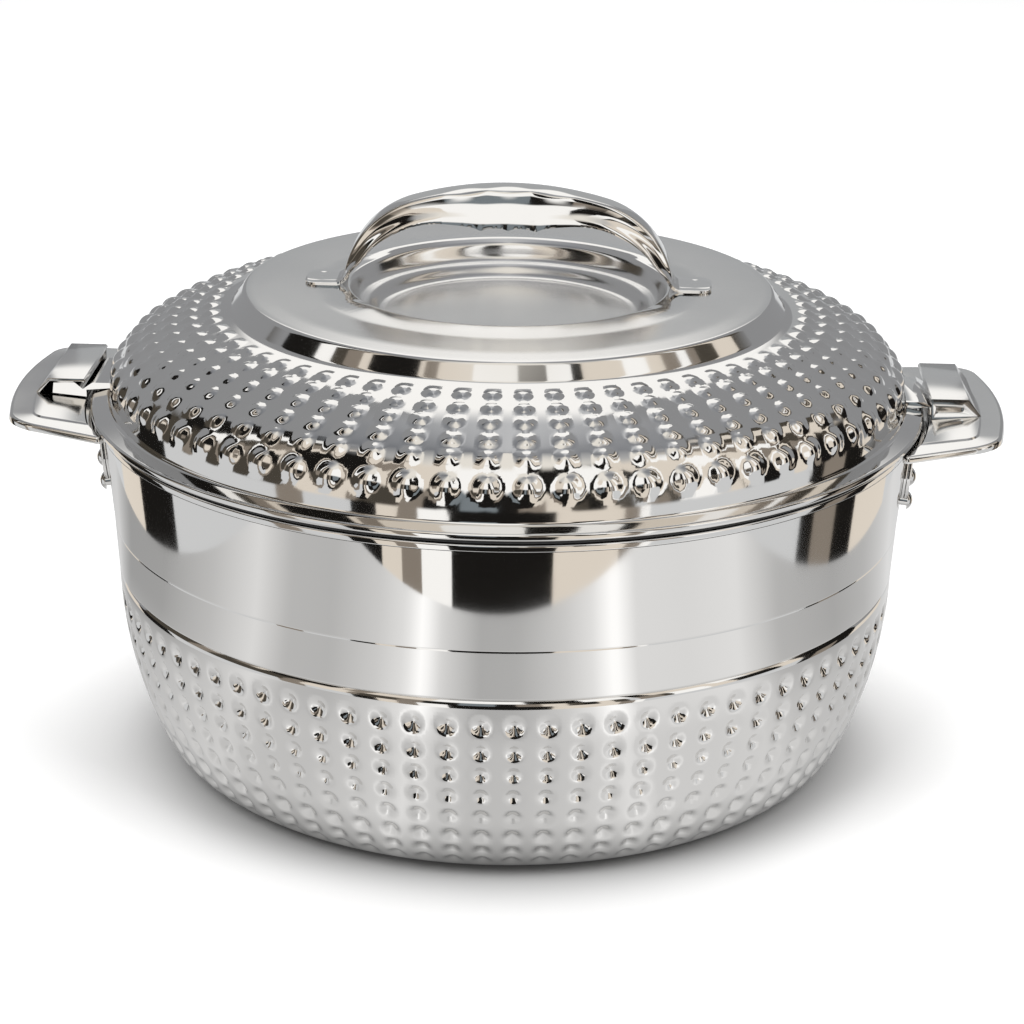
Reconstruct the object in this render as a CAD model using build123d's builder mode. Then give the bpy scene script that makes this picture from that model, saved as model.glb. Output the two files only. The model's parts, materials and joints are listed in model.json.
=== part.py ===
from build123d import *
import os
from math import asin, atan, cos, degrees, radians, sin, tan

# Insulated chapati casserole: a double-walled pressed-steel pot with two riveted side handles, and a
# foam-filled lid that a bow handle turns and lifts.  Two tabs on the lid slide under two keepers on
# the side handles, so a short twist locks the lid onto its rim seal.
#
# Millimetres, +Z up, origin at the centre of the foot ring, on the surface the pot stands on.
# The side handles lie along X and the front of the pot faces -Y.

# ------------------------------------------------------------------ clearances
seat_gap = 0.1      # between sheets that are clamped or riveted together
foam_gap = 0.2      # between the foam and the sheet round it
running_gap = 0.3   # between the pot, the seal and the lid
over_cut = 1.0      # a cut runs this far past the faces it goes through

# ------------------------------------------------------------------ pot, outer shell
shell_gauge = 0.8
rim_radius = 146.0          # at the top edge
rim_height = 128.2
wall_flare = 3.1            # the wall widens by this from the band line to the rim
band_height = 91.0
wall_taper = 0.3            # and by this from the step to the band line
step_height = 73.6          # step between wall and belly
step_width = 2.1            # the belly's rounded top edge is set back by this
belly_inset = 0.8           # widest part of the belly, inside the foot of the wall
belly_height = 70.9
belly_arc = 150.0
belly_level = 73.3          # height of the belly arc's centre
corner_arc = 22.0           # between belly and foot
foot_width = 10.4           # flat ring that the pot stands on
foot_bevel = 5.0
foot_recess = 2.5

# ------------------------------------------------------------------ pot, inner bowl
bowl_gauge = 0.7
rim_width = 18.0            # from the outer edge to the inside of the bowl
bowl_floor = 14.0
bowl_corner = 18.0
bowl_draft = 1.0            # degrees
hook_gauge = 0.9            # brim rolled down over the outer shell
hook_depth = 2.5
hook_round = 0.6

# ------------------------------------------------------------------ foam filling holes
base_hole_radius = 9.0
liner_hole_radius = 7.0
plug_lip = 3.0              # the head of a plug overlaps its hole by this much
plug_head = 1.2
plug_shank = 4.0
plug_play = 0.2

# ------------------------------------------------------------------ rim seal
seal_edge = 1.7             # thickness of the visible outer edge
seal_lip_gauge = 1.8        # inner lip, between the bowl and the lid's spigot
seal_lip_depth = 5.4

# ------------------------------------------------------------------ lid, heights above its lower edge
lid_overhang = 4.0          # beyond the rim
lid_gauge = 0.8
hem_width = 3.5             # leaf of the shell folded under the liner
hem_round = 1.0
flange_width = 6.7          # outside the dome
dome_foot_height = 3.1
shoulder_width = 12.3       # from the dome's foot in to its shoulder
shoulder_height = 24.5
dome_sagitta = 1.55
dome_crown_width = 31.6     # from the shoulder in to the bevel
bevel_height = 35.6
bevel_width = 4.9           # between the dome and the polished plateau
plateau_height = 42.1
crease_radius = 71.5
crease_height = 42.6
lip_radius = 60.0           # crest of the lip round the recess
lip_height = 44.1
lip_side = (56.5, 42.1)
ledge_outer = (54.0, 36.9)
ledge_inner = (50.0, 35.6)
recess_radius = 46.5
recess_height = 31.8
land_reach = 16.0           # flats pressed into the lip for the handle's feet, either side of their middle
land_half_width = 26.0

# ------------------------------------------------------------------ lid liner
liner_gauge = 0.7
spigot_depth = 10.2         # below the lid's lower edge
spigot_round = 5.0

# ------------------------------------------------------------------ lid handle, a pressed bow
bow_gauge = 1.2
bow_half_width = 9.5
bow_foot_end = 72.5
bow_foot_start = 60.5       # the foot turns up into the leg here
bow_bend_round = 4.0
bow_shoulder = (50.0, 29.0)  # from the centre, and above the lands
bow_shoulder_round = 18.0
bow_crown = 37.0            # above the lands
bow_crown_round = 110.0
bow_edge_round = 4.0        # along both sides of the strap
cheek_foot = 57.0           # free lower edges of the cheeks
cheek_bend = (46.5, 17.5)
cheek_crown = (24.0, 23.3)
cheek_round = 12.0
grip_pitch = 15.8           # finger hollows on the front cheek
grip_arc = 20.0
grip_depth = 1.5
notch_count = 4             # small arches along the free edges, under the fingers
notch_pitch = 11.0
notch_depth = 1.0

# ------------------------------------------------------------------ side handles
handle_gauge = 1.2
handle_root_reach = 3.0     # beyond the rim, where the plate's level is taken
handle_below_lid = 0.8      # the plate's top, there, below the lid's lower edge
handle_rise = 5.5           # degrees
plate_reach = 32.8          # farthest point, beyond the rim
plate_bow = 6.2             # the end bulges out by this
plate_root_half_width = 56.0
plate_end_half_width = 49.0
plate_round = 14.0
plate_rim = 2.4             # turned-down edge
plate_edge_round = 1.1
panel_margin = 8.0          # raised panel inside the edge
panel_rise = 0.6
panel_clearance = 1.6       # beyond the lid's edge
leg_half_width = 22.0
leg_length = 29.7           # its lower end, below the rim
leg_round = 12.0
neck_play = 0.5             # between the leg's neck and the rolled brim
joggle_top = 1.4            # the leg steps in to the wall below the hook
joggle_height = 2.7

# ------------------------------------------------------------------ rivets
rivet_drops = (27.2, 18.2)  # rows, below the rim
rivet_half_spread = 16.5
rivet_head_radius = 3.4
rivet_head_rise = 1.9
rivet_shank_radius = 2.0
rivet_hole_play = 0.1
rivet_drill_length = 20.0
rivet_seat = 0.05           # between a flat head or tail and the curved sheet
rivet_tail_radius = 3.0
rivet_tail = 1.2
backing_gauge = 1.0
backing_half_width = 21.0
backing_margin = 5.0        # beyond the rivet rows
foam_relief = 1.5           # round the backing plates, with room for the rivet tails

# ------------------------------------------------------------------ twist lock
keeper_gauge = 1.0
keeper_clearance = 2.0      # straight inner edge, beyond the lid's edge
keeper_width = 13.0         # flat cover
keeper_slope_width = 4.5    # sloping side
keeper_front = -15.0
keeper_rear = 29.0
keeper_height = 7.2         # cover above the panel, at its inner edge
keeper_lip = 0.8            # inner edge bent down
groove_length = 10.0        # stiffening groove in the end wall
groove_width = 2.2
groove_depth = 0.4
tab_gauge = 1.0
tab_front = -12.5
tab_rear = 18.5
tab_root_overlap = 2.0      # drawn in under the dome, then cut to it
tab_pad_margin = 0.5        # pad, inside the lid's edge
tab_valley_reach = 2.5      # valley, beyond the lid's edge
tab_ramp_width = 4.5
tab_edge_clearance = 1.2    # between the tab's skirt and the lid's edge
tab_end_clearance = 1.5     # between the tab's end and the keeper's crease
tab_pad_rise = 2.05         # pad above the lid's flange
tab_valley_drop = 1.7       # below the pad
tab_play = 0.35             # under the keeper's cover
tab_floor_gap = 0.5         # above the raised panel
tab_end_round = 1.2

# ------------------------------------------------------------------ levels and radii that follow
band_radius = rim_radius - wall_flare
wall_foot_radius = band_radius - wall_taper
belly_radius = wall_foot_radius - belly_inset
groove_radius = wall_foot_radius - step_width
belly_angle = degrees(asin((belly_level - corner_arc) / (belly_arc - corner_arc)))
foot_radius = belly_radius - belly_arc + (belly_arc - corner_arc) * cos(radians(belly_angle))
flare = wall_flare / (rim_height - band_height)
bowl_radius = rim_radius - rim_width
lid_radius = rim_radius + lid_overhang
dome_radius = lid_radius - flange_width
shoulder_radius = dome_radius - shoulder_width
bevel_radius = shoulder_radius - dome_crown_width
plateau_radius = bevel_radius - bevel_width
brim_under = rim_height + seat_gap
brim_top = brim_under + bowl_gauge
hook_inner = rim_radius + seat_gap
hook_outer = hook_inner + hook_gauge
hook_bottom = brim_top - hook_depth
seal_bottom = brim_top + running_gap
lid_base = seal_bottom + seal_edge + running_gap
liner_under = lid_base + lid_gauge
flange_under = liner_under + liner_gauge
flange_top = flange_under + lid_gauge
dome_foot = lid_base + dome_foot_height
land_level = lid_base + crease_height
spigot_bottom = lid_base - spigot_depth
spigot_radius = bowl_radius - 2 * running_gap - seal_lip_gauge
plate_level = lid_base - handle_below_lid
handle_root = rim_radius + handle_root_reach
plate_end = rim_radius + plate_reach
plate_corner = plate_end - plate_bow
panel_start = lid_radius + panel_clearance
keeper_inner = lid_radius + keeper_clearance
keeper_crease = keeper_inner + keeper_width
keeper_foot = keeper_crease + keeper_slope_width
tab_pad_end = lid_radius - tab_pad_margin
tab_valley = lid_radius + tab_valley_reach
tab_end = keeper_crease - tab_end_clearance
clear_height = 2 * land_level   # of a cutter that stands taller than all it cuts
leg_bottom = rim_height - leg_length
rivet_rows = [rim_height - drop for drop in rivet_drops]
tilt = radians(handle_rise)


def wall_radius(height):
    """Outside radius of the flared upper wall."""
    return band_radius + (height - band_height) * flare


def panel_level(reach):
    """Top of the side handle's raised panel at a distance from the axis."""
    return plate_level + (reach - handle_root) * tan(tilt) + panel_rise / cos(tilt)


# ------------------------------------------------------------------ pot
def pot_form(inset, top):
    """Half-section of the pot's outside, set in by inset and cut off level at top."""
    with BuildSketch(Plane.XZ) as section:
        with BuildLine():
            Polyline(
                (0, top),
                (0, foot_recess + inset),
                (foot_radius - foot_width - foot_bevel, foot_recess + inset),
                (foot_radius - foot_width, inset),
                (foot_radius, inset),
            )
            CenterArc((foot_radius, corner_arc), corner_arc - inset, -90, 90 - belly_angle)
            belly_centre = (belly_radius - belly_arc, belly_level)
            rest_angle = degrees(asin((belly_level - belly_height) / (belly_arc - inset)))
            belly = CenterArc(belly_centre, belly_arc - inset, -belly_angle, belly_angle - rest_angle)
            Polyline(
                belly @ 1,
                (groove_radius - inset, step_height),
                (wall_foot_radius - inset, step_height + inset / 2),
                (band_radius - inset, band_height),
                (wall_radius(top) - inset, top),
                (0, top),
            )
        make_face()
    return section.sketch


def bowl_form(growth, top):
    """Half-section of the bowl's inside, grown by growth and cut off level at top."""
    slope = tan(radians(bowl_draft))
    corner_height = bowl_floor + bowl_corner
    corner_radius = bowl_radius - (brim_top - corner_height) * slope - bowl_corner / cos(radians(bowl_draft))
    top_radius = bowl_radius - (brim_top - top) * slope + growth / cos(radians(bowl_draft))
    with BuildSketch(Plane.XZ) as section:
        with BuildLine():
            Polyline((0, top), (0, bowl_floor - growth), (corner_radius, bowl_floor - growth))
            corner = CenterArc((corner_radius, corner_height), bowl_corner + growth, -90, 90 - bowl_draft)
            Polyline(corner @ 1, (top_radius, top), (0, top))
        make_face()
    return section.sketch


def rivet_places(side, depth):
    """Planes on the wall, depth inside its outer face, facing outwards along each rivet."""
    places = []
    for height in rivet_rows:
        radius = wall_radius(height)
        for offset_y in (-rivet_half_spread, rivet_half_spread):
            bearing = asin(offset_y / radius)
            normal = Vector(side * cos(bearing), sin(bearing), -flare).normalized()
            on_wall = Vector(side * radius * cos(bearing), offset_y, height)
            places.append(Plane(origin=on_wall - normal * depth, z_dir=normal))
    return places


def drill_rivet_holes(sides):
    """Cut the rivet holes through whatever sheet the part being built has there."""
    for side in sides:
        with Locations(*rivet_places(side, 0)):
            Cylinder(rivet_shank_radius + rivet_hole_play, rivet_drill_length, mode=Mode.SUBTRACT)


def sector(section, half_width, radius):
    """Section turned part of the way round the axis, as wide as half_width either side of +X."""
    half_angle = degrees(asin(half_width / radius))
    with BuildPart() as turned:
        revolve(section.rotate(Axis.Z, -half_angle), axis=Axis.Z, revolution_arc=2 * half_angle)
    return turned.part


with BuildPart() as outer_shell:
    revolve(pot_form(0, rim_height), axis=Axis.Z)
    revolve(pot_form(shell_gauge, rim_height + over_cut), axis=Axis.Z, mode=Mode.SUBTRACT)
    Hole(base_hole_radius)
    drill_rivet_holes((-1, 1))

with BuildPart() as inner_bowl:
    revolve(bowl_form(bowl_gauge, brim_under), axis=Axis.Z)
    with BuildSketch(Plane.XZ) as brim:
        with BuildLine():
            Polyline(
                (bowl_radius - over_cut, brim_under),
                (hook_inner, brim_under),
                (hook_inner, hook_bottom),
                (hook_outer, hook_bottom),
                (hook_outer, brim_top),
                (bowl_radius - over_cut, brim_top),
                close=True,
            )
        make_face()
        fillet(brim.vertices().sort_by(Axis.X)[-2:].sort_by(Axis.Y)[-1], hook_round)
    revolve(axis=Axis.Z)
    revolve(bowl_form(0, brim_top + over_cut), axis=Axis.Z, mode=Mode.SUBTRACT)


def backing_section(clearance):
    """Section of a rivet backing plate on the wall's inner face, grown by clearance."""
    bottom = rivet_rows[0] - backing_margin - clearance
    top = rivet_rows[-1] + backing_margin + clearance
    near = shell_gauge + seat_gap - clearance
    far = shell_gauge + seat_gap + backing_gauge + clearance
    with BuildSketch(Plane.XZ) as section:
        with BuildLine():
            Polyline(
                (wall_radius(bottom) - near, bottom),
                (wall_radius(top) - near, top),
                (wall_radius(top) - far, top),
                (wall_radius(bottom) - far, bottom),
                close=True,
            )
        make_face()
    return section.sketch


with BuildPart() as pot_insulation:
    foam_inset = shell_gauge + foam_gap
    foam_top = brim_under - foam_gap
    with BuildSketch(Plane.XZ):
        with BuildLine():
            corner = CenterArc(
                (foot_radius, corner_arc), corner_arc - foam_inset, -90, 90 - belly_angle, mode=Mode.PRIVATE
            )
            Polyline(
                (0, foam_top),
                (0, foot_recess + foam_inset),
                (foot_radius, foot_recess + foam_inset),
                corner @ 0.5,
                corner @ 1,
                (groove_radius - foam_inset, belly_height),
                (groove_radius - foam_inset, step_height),
                (band_radius - 2 * foam_inset, band_height),
                (wall_radius(foam_top) - foam_inset, foam_top),
                close=True,
            )
        make_face()
    revolve(axis=Axis.Z)
    revolve(bowl_form(bowl_gauge + foam_gap, foam_top + over_cut), axis=Axis.Z, mode=Mode.SUBTRACT)
    relief = sector(backing_section(foam_relief), backing_half_width + foam_relief, rim_radius)
    add(relief, mode=Mode.SUBTRACT)
    add(mirror(relief, about=Plane.YZ), mode=Mode.SUBTRACT)
    Cylinder(
        base_hole_radius + foam_gap,
        2 * (foot_recess + shell_gauge + plug_shank + foam_gap),
        mode=Mode.SUBTRACT,
    )


def fill_plug(hole_radius, seat):
    """Plug pressed up into a filling hole whose outer face is at the height seat."""
    with BuildPart() as plug:
        with Locations((0, 0, seat)):
            Cylinder(hole_radius + plug_lip, plug_head, align=(Align.CENTER, Align.CENTER, Align.MAX))
            Cylinder(hole_radius - plug_play, plug_shank, align=(Align.CENTER, Align.CENTER, Align.MIN))
    return plug.part


base_fill_plug = fill_plug(base_hole_radius, foot_recess)


# ------------------------------------------------------------------ rim seal
with BuildPart() as rim_seal:
    seal_inner = spigot_radius + running_gap
    lip_outer = bowl_radius - running_gap - seal_lip_depth * tan(radians(bowl_draft))
    with BuildSketch(Plane.XZ):
        with BuildLine():
            Polyline(
                (seal_inner, seal_bottom - seal_lip_depth),
                (lip_outer, seal_bottom - seal_lip_depth),
                (lip_outer, seal_bottom),
                (hook_outer, seal_bottom),
                (hook_outer, seal_bottom + seal_edge),
                (lid_radius - hem_width - running_gap, seal_bottom + seal_edge),
                (lid_radius - hem_width - running_gap, liner_under - running_gap),
                (seal_inner, liner_under - running_gap),
                close=True,
            )
        make_face()
    revolve(axis=Axis.Z)


# ------------------------------------------------------------------ lid
with BuildSketch(Plane.XZ) as lid_face:
    with BuildLine():
        pressed = Polyline(
            (0, lid_base + recess_height),
            (recess_radius, lid_base + recess_height),
            (ledge_inner[0], lid_base + ledge_inner[1]),
            (ledge_outer[0], lid_base + ledge_outer[1]),
            (lip_side[0], lid_base + lip_side[1]),
            (lip_radius, lid_base + lip_height),
            (crease_radius, lid_base + crease_height),
            (plateau_radius, lid_base + plateau_height),
            (bevel_radius, lid_base + bevel_height),
        )
        shoulder = (shoulder_radius, lid_base + shoulder_height)
        crown = SagittaArc(pressed @ 1, shoulder, dome_sagitta)
        TangentArc(shoulder, (dome_radius, dome_foot), tangent=crown % 1)
        Polyline((dome_radius, dome_foot), (dome_radius, 0), (0, 0))
        mirror(about=Plane.YZ)
    make_face()


def lid_form(inset, bottom):
    """Half-section of the room under the lid's outer face, set in by inset, from bottom upwards."""
    with BuildSketch(Plane.XZ) as section:
        if inset:
            offset(lid_face.sketch_local, amount=-inset)
        else:
            add(lid_face.sketch_local)
        with Locations((0, bottom)):
            Rectangle(
                lid_radius, lid_base + lip_height, align=(Align.MIN, Align.MIN), mode=Mode.INTERSECT
            )
    return section.sketch


def press_lands(depth):
    """Flatten the lip at both feet of the handle, depth below its outer face and as much wider."""
    middle = (bow_foot_end + bow_foot_start) / 2
    with Locations((-middle, 0, land_level - depth), (middle, 0, land_level - depth)):
        Box(
            2 * land_reach,
            2 * (land_half_width + depth),
            lip_height,
            align=(Align.CENTER, Align.CENTER, Align.MIN),
            mode=Mode.SUBTRACT,
        )


with BuildPart() as lid_hollow:
    revolve(lid_form(lid_gauge, flange_under - over_cut), axis=Axis.Z)
    press_lands(lid_gauge)

with BuildPart() as lid_shell:
    revolve(lid_form(0, flange_under), axis=Axis.Z)
    press_lands(0)
    add(lid_hollow.part, mode=Mode.SUBTRACT)
    with BuildSketch(Plane.XZ) as hem:
        with BuildLine():
            Polyline(
                (dome_radius - lid_gauge, dome_foot),
                (dome_radius, dome_foot),
                (lid_radius, flange_top),
                (lid_radius, lid_base),
                (lid_radius - hem_width, lid_base),
                (lid_radius - hem_width, liner_under),
                (lid_radius - lid_gauge, liner_under),
                (lid_radius - lid_gauge, flange_under),
                (dome_radius - lid_gauge, flange_under),
                close=True,
            )
        make_face()
        fillet(hem.vertices().sort_by(Axis.X)[-2:], hem_round)
    revolve(axis=Axis.Z)

with BuildPart() as lid_liner:
    with BuildSketch(Plane.XZ) as liner:
        with BuildLine():
            sheet = FilletPolyline(
                (0, spigot_bottom),
                (spigot_radius, spigot_bottom),
                (spigot_radius, spigot_bottom + 2 * spigot_round),
                radius=spigot_round,
            )
            back = FilletPolyline(
                (0, spigot_bottom + liner_gauge),
                (spigot_radius - liner_gauge, spigot_bottom + liner_gauge),
                (spigot_radius - liner_gauge, spigot_bottom + 2 * spigot_round),
                radius=spigot_round - liner_gauge,
            )
            flange_end = lid_radius - lid_gauge - foam_gap
            Polyline(
                sheet @ 1,
                (spigot_radius, liner_under),
                (flange_end, liner_under),
                (flange_end, flange_under),
                (spigot_radius - liner_gauge, flange_under),
                back @ 1,
            )
            Line(back @ 0, sheet @ 0)
        make_face()
    revolve(axis=Axis.Z)
    Hole(liner_hole_radius)

with BuildPart() as lid_insulation:
    foam_inset = lid_gauge + foam_gap
    foam_bottom = spigot_bottom + liner_gauge + foam_gap
    foam_spigot = spigot_radius - liner_gauge - foam_gap
    with BuildSketch(Plane.XZ):
        with BuildLine():
            Polyline(
                (0, foam_bottom),
                (foam_spigot - spigot_round, foam_bottom),
                (foam_spigot, foam_bottom + spigot_round),
                (foam_spigot, flange_under + foam_gap),
                (dome_radius - foam_inset, flange_under + foam_gap),
                (dome_radius - foam_inset, dome_foot),
                (shoulder[0] - foam_inset, shoulder[1] - foam_inset),
                (bevel_radius - foam_inset, lid_base + bevel_height - foam_inset),
                (plateau_radius - foam_inset, lid_base + plateau_height - 2 * foam_inset),
                (lip_side[0] + 2 * foam_inset, lid_base + plateau_height - 2 * foam_inset),
                (ledge_outer[0] + foam_inset, lid_base + ledge_outer[1] - 2 * foam_inset),
                (recess_radius + foam_inset, lid_base + recess_height - foam_inset),
                (0, lid_base + recess_height - foam_inset),
                close=True,
            )
        make_face()
    revolve(axis=Axis.Z)
    with Locations((0, 0, foam_bottom)):
        Cylinder(liner_hole_radius + foam_gap, 2 * plug_shank, mode=Mode.SUBTRACT)

lid_fill_plug = fill_plug(liner_hole_radius, spigot_bottom)


# ------------------------------------------------------------------ lid handle
foot_top = land_level + bow_gauge
with BuildSketch(Plane.XZ) as bow_face:
    with BuildLine():
        strap = FilletPolyline(
            (-bow_foot_end, foot_top),
            (-bow_foot_start, foot_top),
            (-bow_shoulder[0], land_level + bow_shoulder[1]),
            (0, land_level + bow_crown),
            (bow_shoulder[0], land_level + bow_shoulder[1]),
            (bow_foot_start, foot_top),
            (bow_foot_end, foot_top),
            radius=(bow_bend_round, bow_shoulder_round, bow_crown_round, bow_shoulder_round, bow_bend_round),
        )
        Polyline(strap @ 1, (bow_foot_end, lid_base), (-bow_foot_end, lid_base), strap @ 0)
    make_face()

with BuildSketch(Plane.XZ) as finger_room:
    with BuildLine():
        leg_edge = FilletPolyline(
            (-cheek_foot, land_level),
            (-cheek_bend[0], land_level + cheek_bend[1]),
            (-notch_count * notch_pitch / 2, land_level + cheek_crown[1]),
            radius=cheek_round,
        )
        mirror(leg_edge, about=Plane.YZ)
        for number in range(notch_count):
            start = (number - notch_count / 2) * notch_pitch
            SagittaArc(
                (start, land_level + cheek_crown[1]),
                (start + notch_pitch, land_level + cheek_crown[1]),
                notch_depth,
            )
        Polyline(leg_edge @ 0, (-cheek_foot, lid_base), (cheek_foot, lid_base), (cheek_foot, land_level))
    make_face()


def bow_block(inset):
    """Block under the bow's outer face, set in by inset, with rounded long edges and finger hollows."""
    with BuildPart() as block:
        with BuildSketch(Plane.XZ):
            if inset:
                offset(bow_face.sketch_local, amount=-inset)
            else:
                add(bow_face.sketch_local)
        extrude(amount=bow_half_width - inset, both=True)
        sides = block.faces().filter_by(Axis.Y).edges()
        fillet(sides.filter_by(lambda edge: edge.bounding_box().max.Z > foot_top + 1), bow_edge_round - inset)
        hollow_centre = -bow_half_width - grip_arc + grip_depth
        with Locations(*[(step * grip_pitch, hollow_centre, land_level + bow_crown / 2) for step in (-1, 0, 1)]):
            Cylinder(grip_arc + inset, 2 * bow_crown, mode=Mode.SUBTRACT)
    return block.part


with BuildPart() as lid_handle:
    add(bow_block(0))
    extrude(finger_room.sketch, amount=2 * bow_half_width, both=True, mode=Mode.SUBTRACT)
    add(bow_block(bow_gauge), mode=Mode.SUBTRACT)
    split(bisect_by=Plane.XY.offset(land_level), keep=Keep.TOP)
    foot_length = bow_foot_end - bow_foot_start + bow_gauge
    foot_middle = bow_foot_end - foot_length / 2
    with Locations((-foot_middle, 0, land_level), (foot_middle, 0, land_level)):
        Box(foot_length, 2 * bow_half_width, bow_gauge, align=(Align.CENTER, Align.CENTER, Align.MIN))


# ------------------------------------------------------------------ side handles
plate_plane = Plane(
    origin=(handle_root, 0, plate_level), x_dir=(cos(tilt), 0, sin(tilt)), z_dir=(-sin(tilt), 0, cos(tilt))
)
with BuildSketch() as plate_outline:
    with BuildLine():
        root = (-plate_round, plate_root_half_width)
        corner = ((plate_corner - handle_root) / cos(tilt), plate_end_half_width)
        tip = ((plate_end - handle_root) / cos(tilt), 0)
        Polyline((corner[0], -corner[1]), (root[0], -root[1]), root, corner)
        ThreePointArc(corner, tip, (corner[0], -corner[1]))
    make_face()
    fillet(plate_outline.vertices().group_by(Axis.X)[-1], plate_round)


def on_plate(inset, depth):
    """Outline of the handle's plate set in by inset, on its sloping plane and depth below its top."""
    outline = offset(plate_outline.sketch, amount=-inset) if inset else plate_outline.sketch
    return plate_plane.offset(-depth) * outline


def leg_section():
    """Neck beside the brim, joggle below it and leg down the wall, as one folded strip."""
    neck = hook_outer + neck_play
    joggle = hook_bottom - joggle_top
    inner = [
        (neck, plate_level - handle_gauge / 2),
        (neck, joggle),
        (wall_radius(joggle - joggle_height) + seat_gap, joggle - joggle_height),
        (wall_radius(leg_bottom) + seat_gap, leg_bottom),
    ]
    outer = [(radius + handle_gauge, height) for radius, height in reversed(inner)]
    with BuildSketch(Plane.XZ) as section:
        with BuildLine():
            Polyline(*inner, *outer, close=True)
        make_face()
    return section.sketch


with BuildPart() as right_leg:
    add(sector(leg_section(), leg_half_width + leg_round, rim_radius))
    with BuildSketch(Plane.YZ) as leg_outline:
        with Locations((0, leg_bottom)):
            Rectangle(2 * leg_half_width, plate_level, align=(Align.CENTER, Align.MIN))
        fillet(leg_outline.vertices().group_by(Axis.Y)[0], leg_round)
    extrude(amount=plate_end, mode=Mode.INTERSECT)

with BuildPart() as right_side_handle:
    extrude(on_plate(0, plate_rim), amount=plate_rim)
    fillet(right_side_handle.faces().sort_by(Axis.Z)[-1].edges(), plate_edge_round)
    hollow_depth = plate_rim + over_cut
    extrude(on_plate(handle_gauge, hollow_depth), amount=hollow_depth - handle_gauge, mode=Mode.SUBTRACT)
    with BuildPart(mode=Mode.PRIVATE) as raised:
        extrude(on_plate(panel_margin, 0), amount=panel_rise, taper=45)
        extrude(on_plate(panel_margin, 0), amount=-handle_gauge)
        Cylinder(panel_start, clear_height, mode=Mode.SUBTRACT)
    with BuildPart(mode=Mode.PRIVATE) as panel_back:
        extrude(on_plate(panel_margin + panel_rise, plate_rim), amount=plate_rim + panel_rise - handle_gauge)
        Cylinder(panel_start + panel_rise, clear_height, mode=Mode.SUBTRACT)
    add(raised.part)
    add(panel_back.part, mode=Mode.SUBTRACT)
    Cylinder(hook_outer + neck_play, clear_height, mode=Mode.SUBTRACT)
    add(right_leg.part)
    drill_rivet_holes((1,))

with BuildPart() as left_side_handle:
    add(mirror(right_side_handle.part, about=Plane.YZ))

with BuildPart() as right_rivet_backing:
    add(sector(backing_section(0), backing_half_width, rim_radius))
    drill_rivet_holes((1,))

with BuildPart() as left_rivet_backing:
    add(mirror(right_rivet_backing.part, about=Plane.YZ))


with BuildPart(mode=Mode.PRIVATE) as rivet:
    grip = handle_gauge + 2 * seat_gap + shell_gauge + backing_gauge + 2 * rivet_seat
    head_round = (rivet_head_radius**2 + rivet_head_rise**2) / (2 * rivet_head_rise)
    with BuildSketch(Plane.XZ):
        with BuildLine():
            Polyline(
                (rivet_head_radius, grip),
                (rivet_shank_radius, grip),
                (rivet_shank_radius, 0),
                (rivet_tail_radius, 0),
                (rivet_tail_radius, -rivet_tail),
                (0, -rivet_tail),
                (0, grip + rivet_head_rise),
            )
            RadiusArc((0, grip + rivet_head_rise), (rivet_head_radius, grip), -head_round)
        make_face()
    revolve(axis=Axis.Z)

with BuildPart() as handle_rivets:
    tail_depth = shell_gauge + seat_gap + backing_gauge + rivet_seat
    with Locations(*rivet_places(1, tail_depth), *rivet_places(-1, tail_depth)):
        add(rivet.part)


# ------------------------------------------------------------------ twist lock
cover_top = panel_level(keeper_inner) + keeper_height
cover_under = cover_top - keeper_gauge
crease_turn = atan((cover_top - panel_level(keeper_foot)) / (keeper_foot - keeper_crease))
crease_inset = keeper_gauge * tan(crease_turn / 2)
foot_inset = keeper_gauge / sin(crease_turn)


def keeper(side, closed_end):
    """Keeper on a side handle's panel: a bent cover, closed by a grooved wall at one end."""
    with BuildPart() as part:
        with BuildSketch(Plane.XZ.offset(-keeper_rear)):
            with BuildLine():
                Polyline(
                    (keeper_inner - keeper_lip, cover_top - keeper_lip),
                    (keeper_inner, cover_top),
                    (keeper_crease, cover_top),
                    (keeper_foot, panel_level(keeper_foot)),
                    (keeper_foot - foot_inset, panel_level(keeper_foot - foot_inset)),
                    (keeper_crease - crease_inset, cover_under),
                    (keeper_inner + keeper_lip, cover_under),
                    (keeper_inner, cover_under - keeper_lip / 2),
                    close=True,
                )
            make_face()
        extrude(amount=keeper_rear - keeper_front)
        wall_back = keeper_front + keeper_gauge if closed_end == keeper_front else keeper_rear
        with BuildSketch(Plane.XZ.offset(-wall_back)):
            with BuildLine():
                Polyline(
                    (keeper_inner, cover_top),
                    (keeper_crease, cover_top),
                    (keeper_foot, panel_level(keeper_foot)),
                    (keeper_inner, panel_level(keeper_inner)),
                    close=True,
                )
            make_face()
        extrude(amount=keeper_gauge)
        with BuildSketch(Plane.XZ.offset(-closed_end)):
            with Locations((keeper_crease - keeper_width / 2, cover_top - keeper_height / 2)):
                SlotOverall(groove_length, groove_width)
        extrude(amount=groove_depth, both=True, mode=Mode.SUBTRACT)
    return part.part if side > 0 else mirror(part.part, about=Plane.YZ)


right_keeper = keeper(1, keeper_front)
left_keeper = keeper(-1, keeper_rear)


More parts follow.
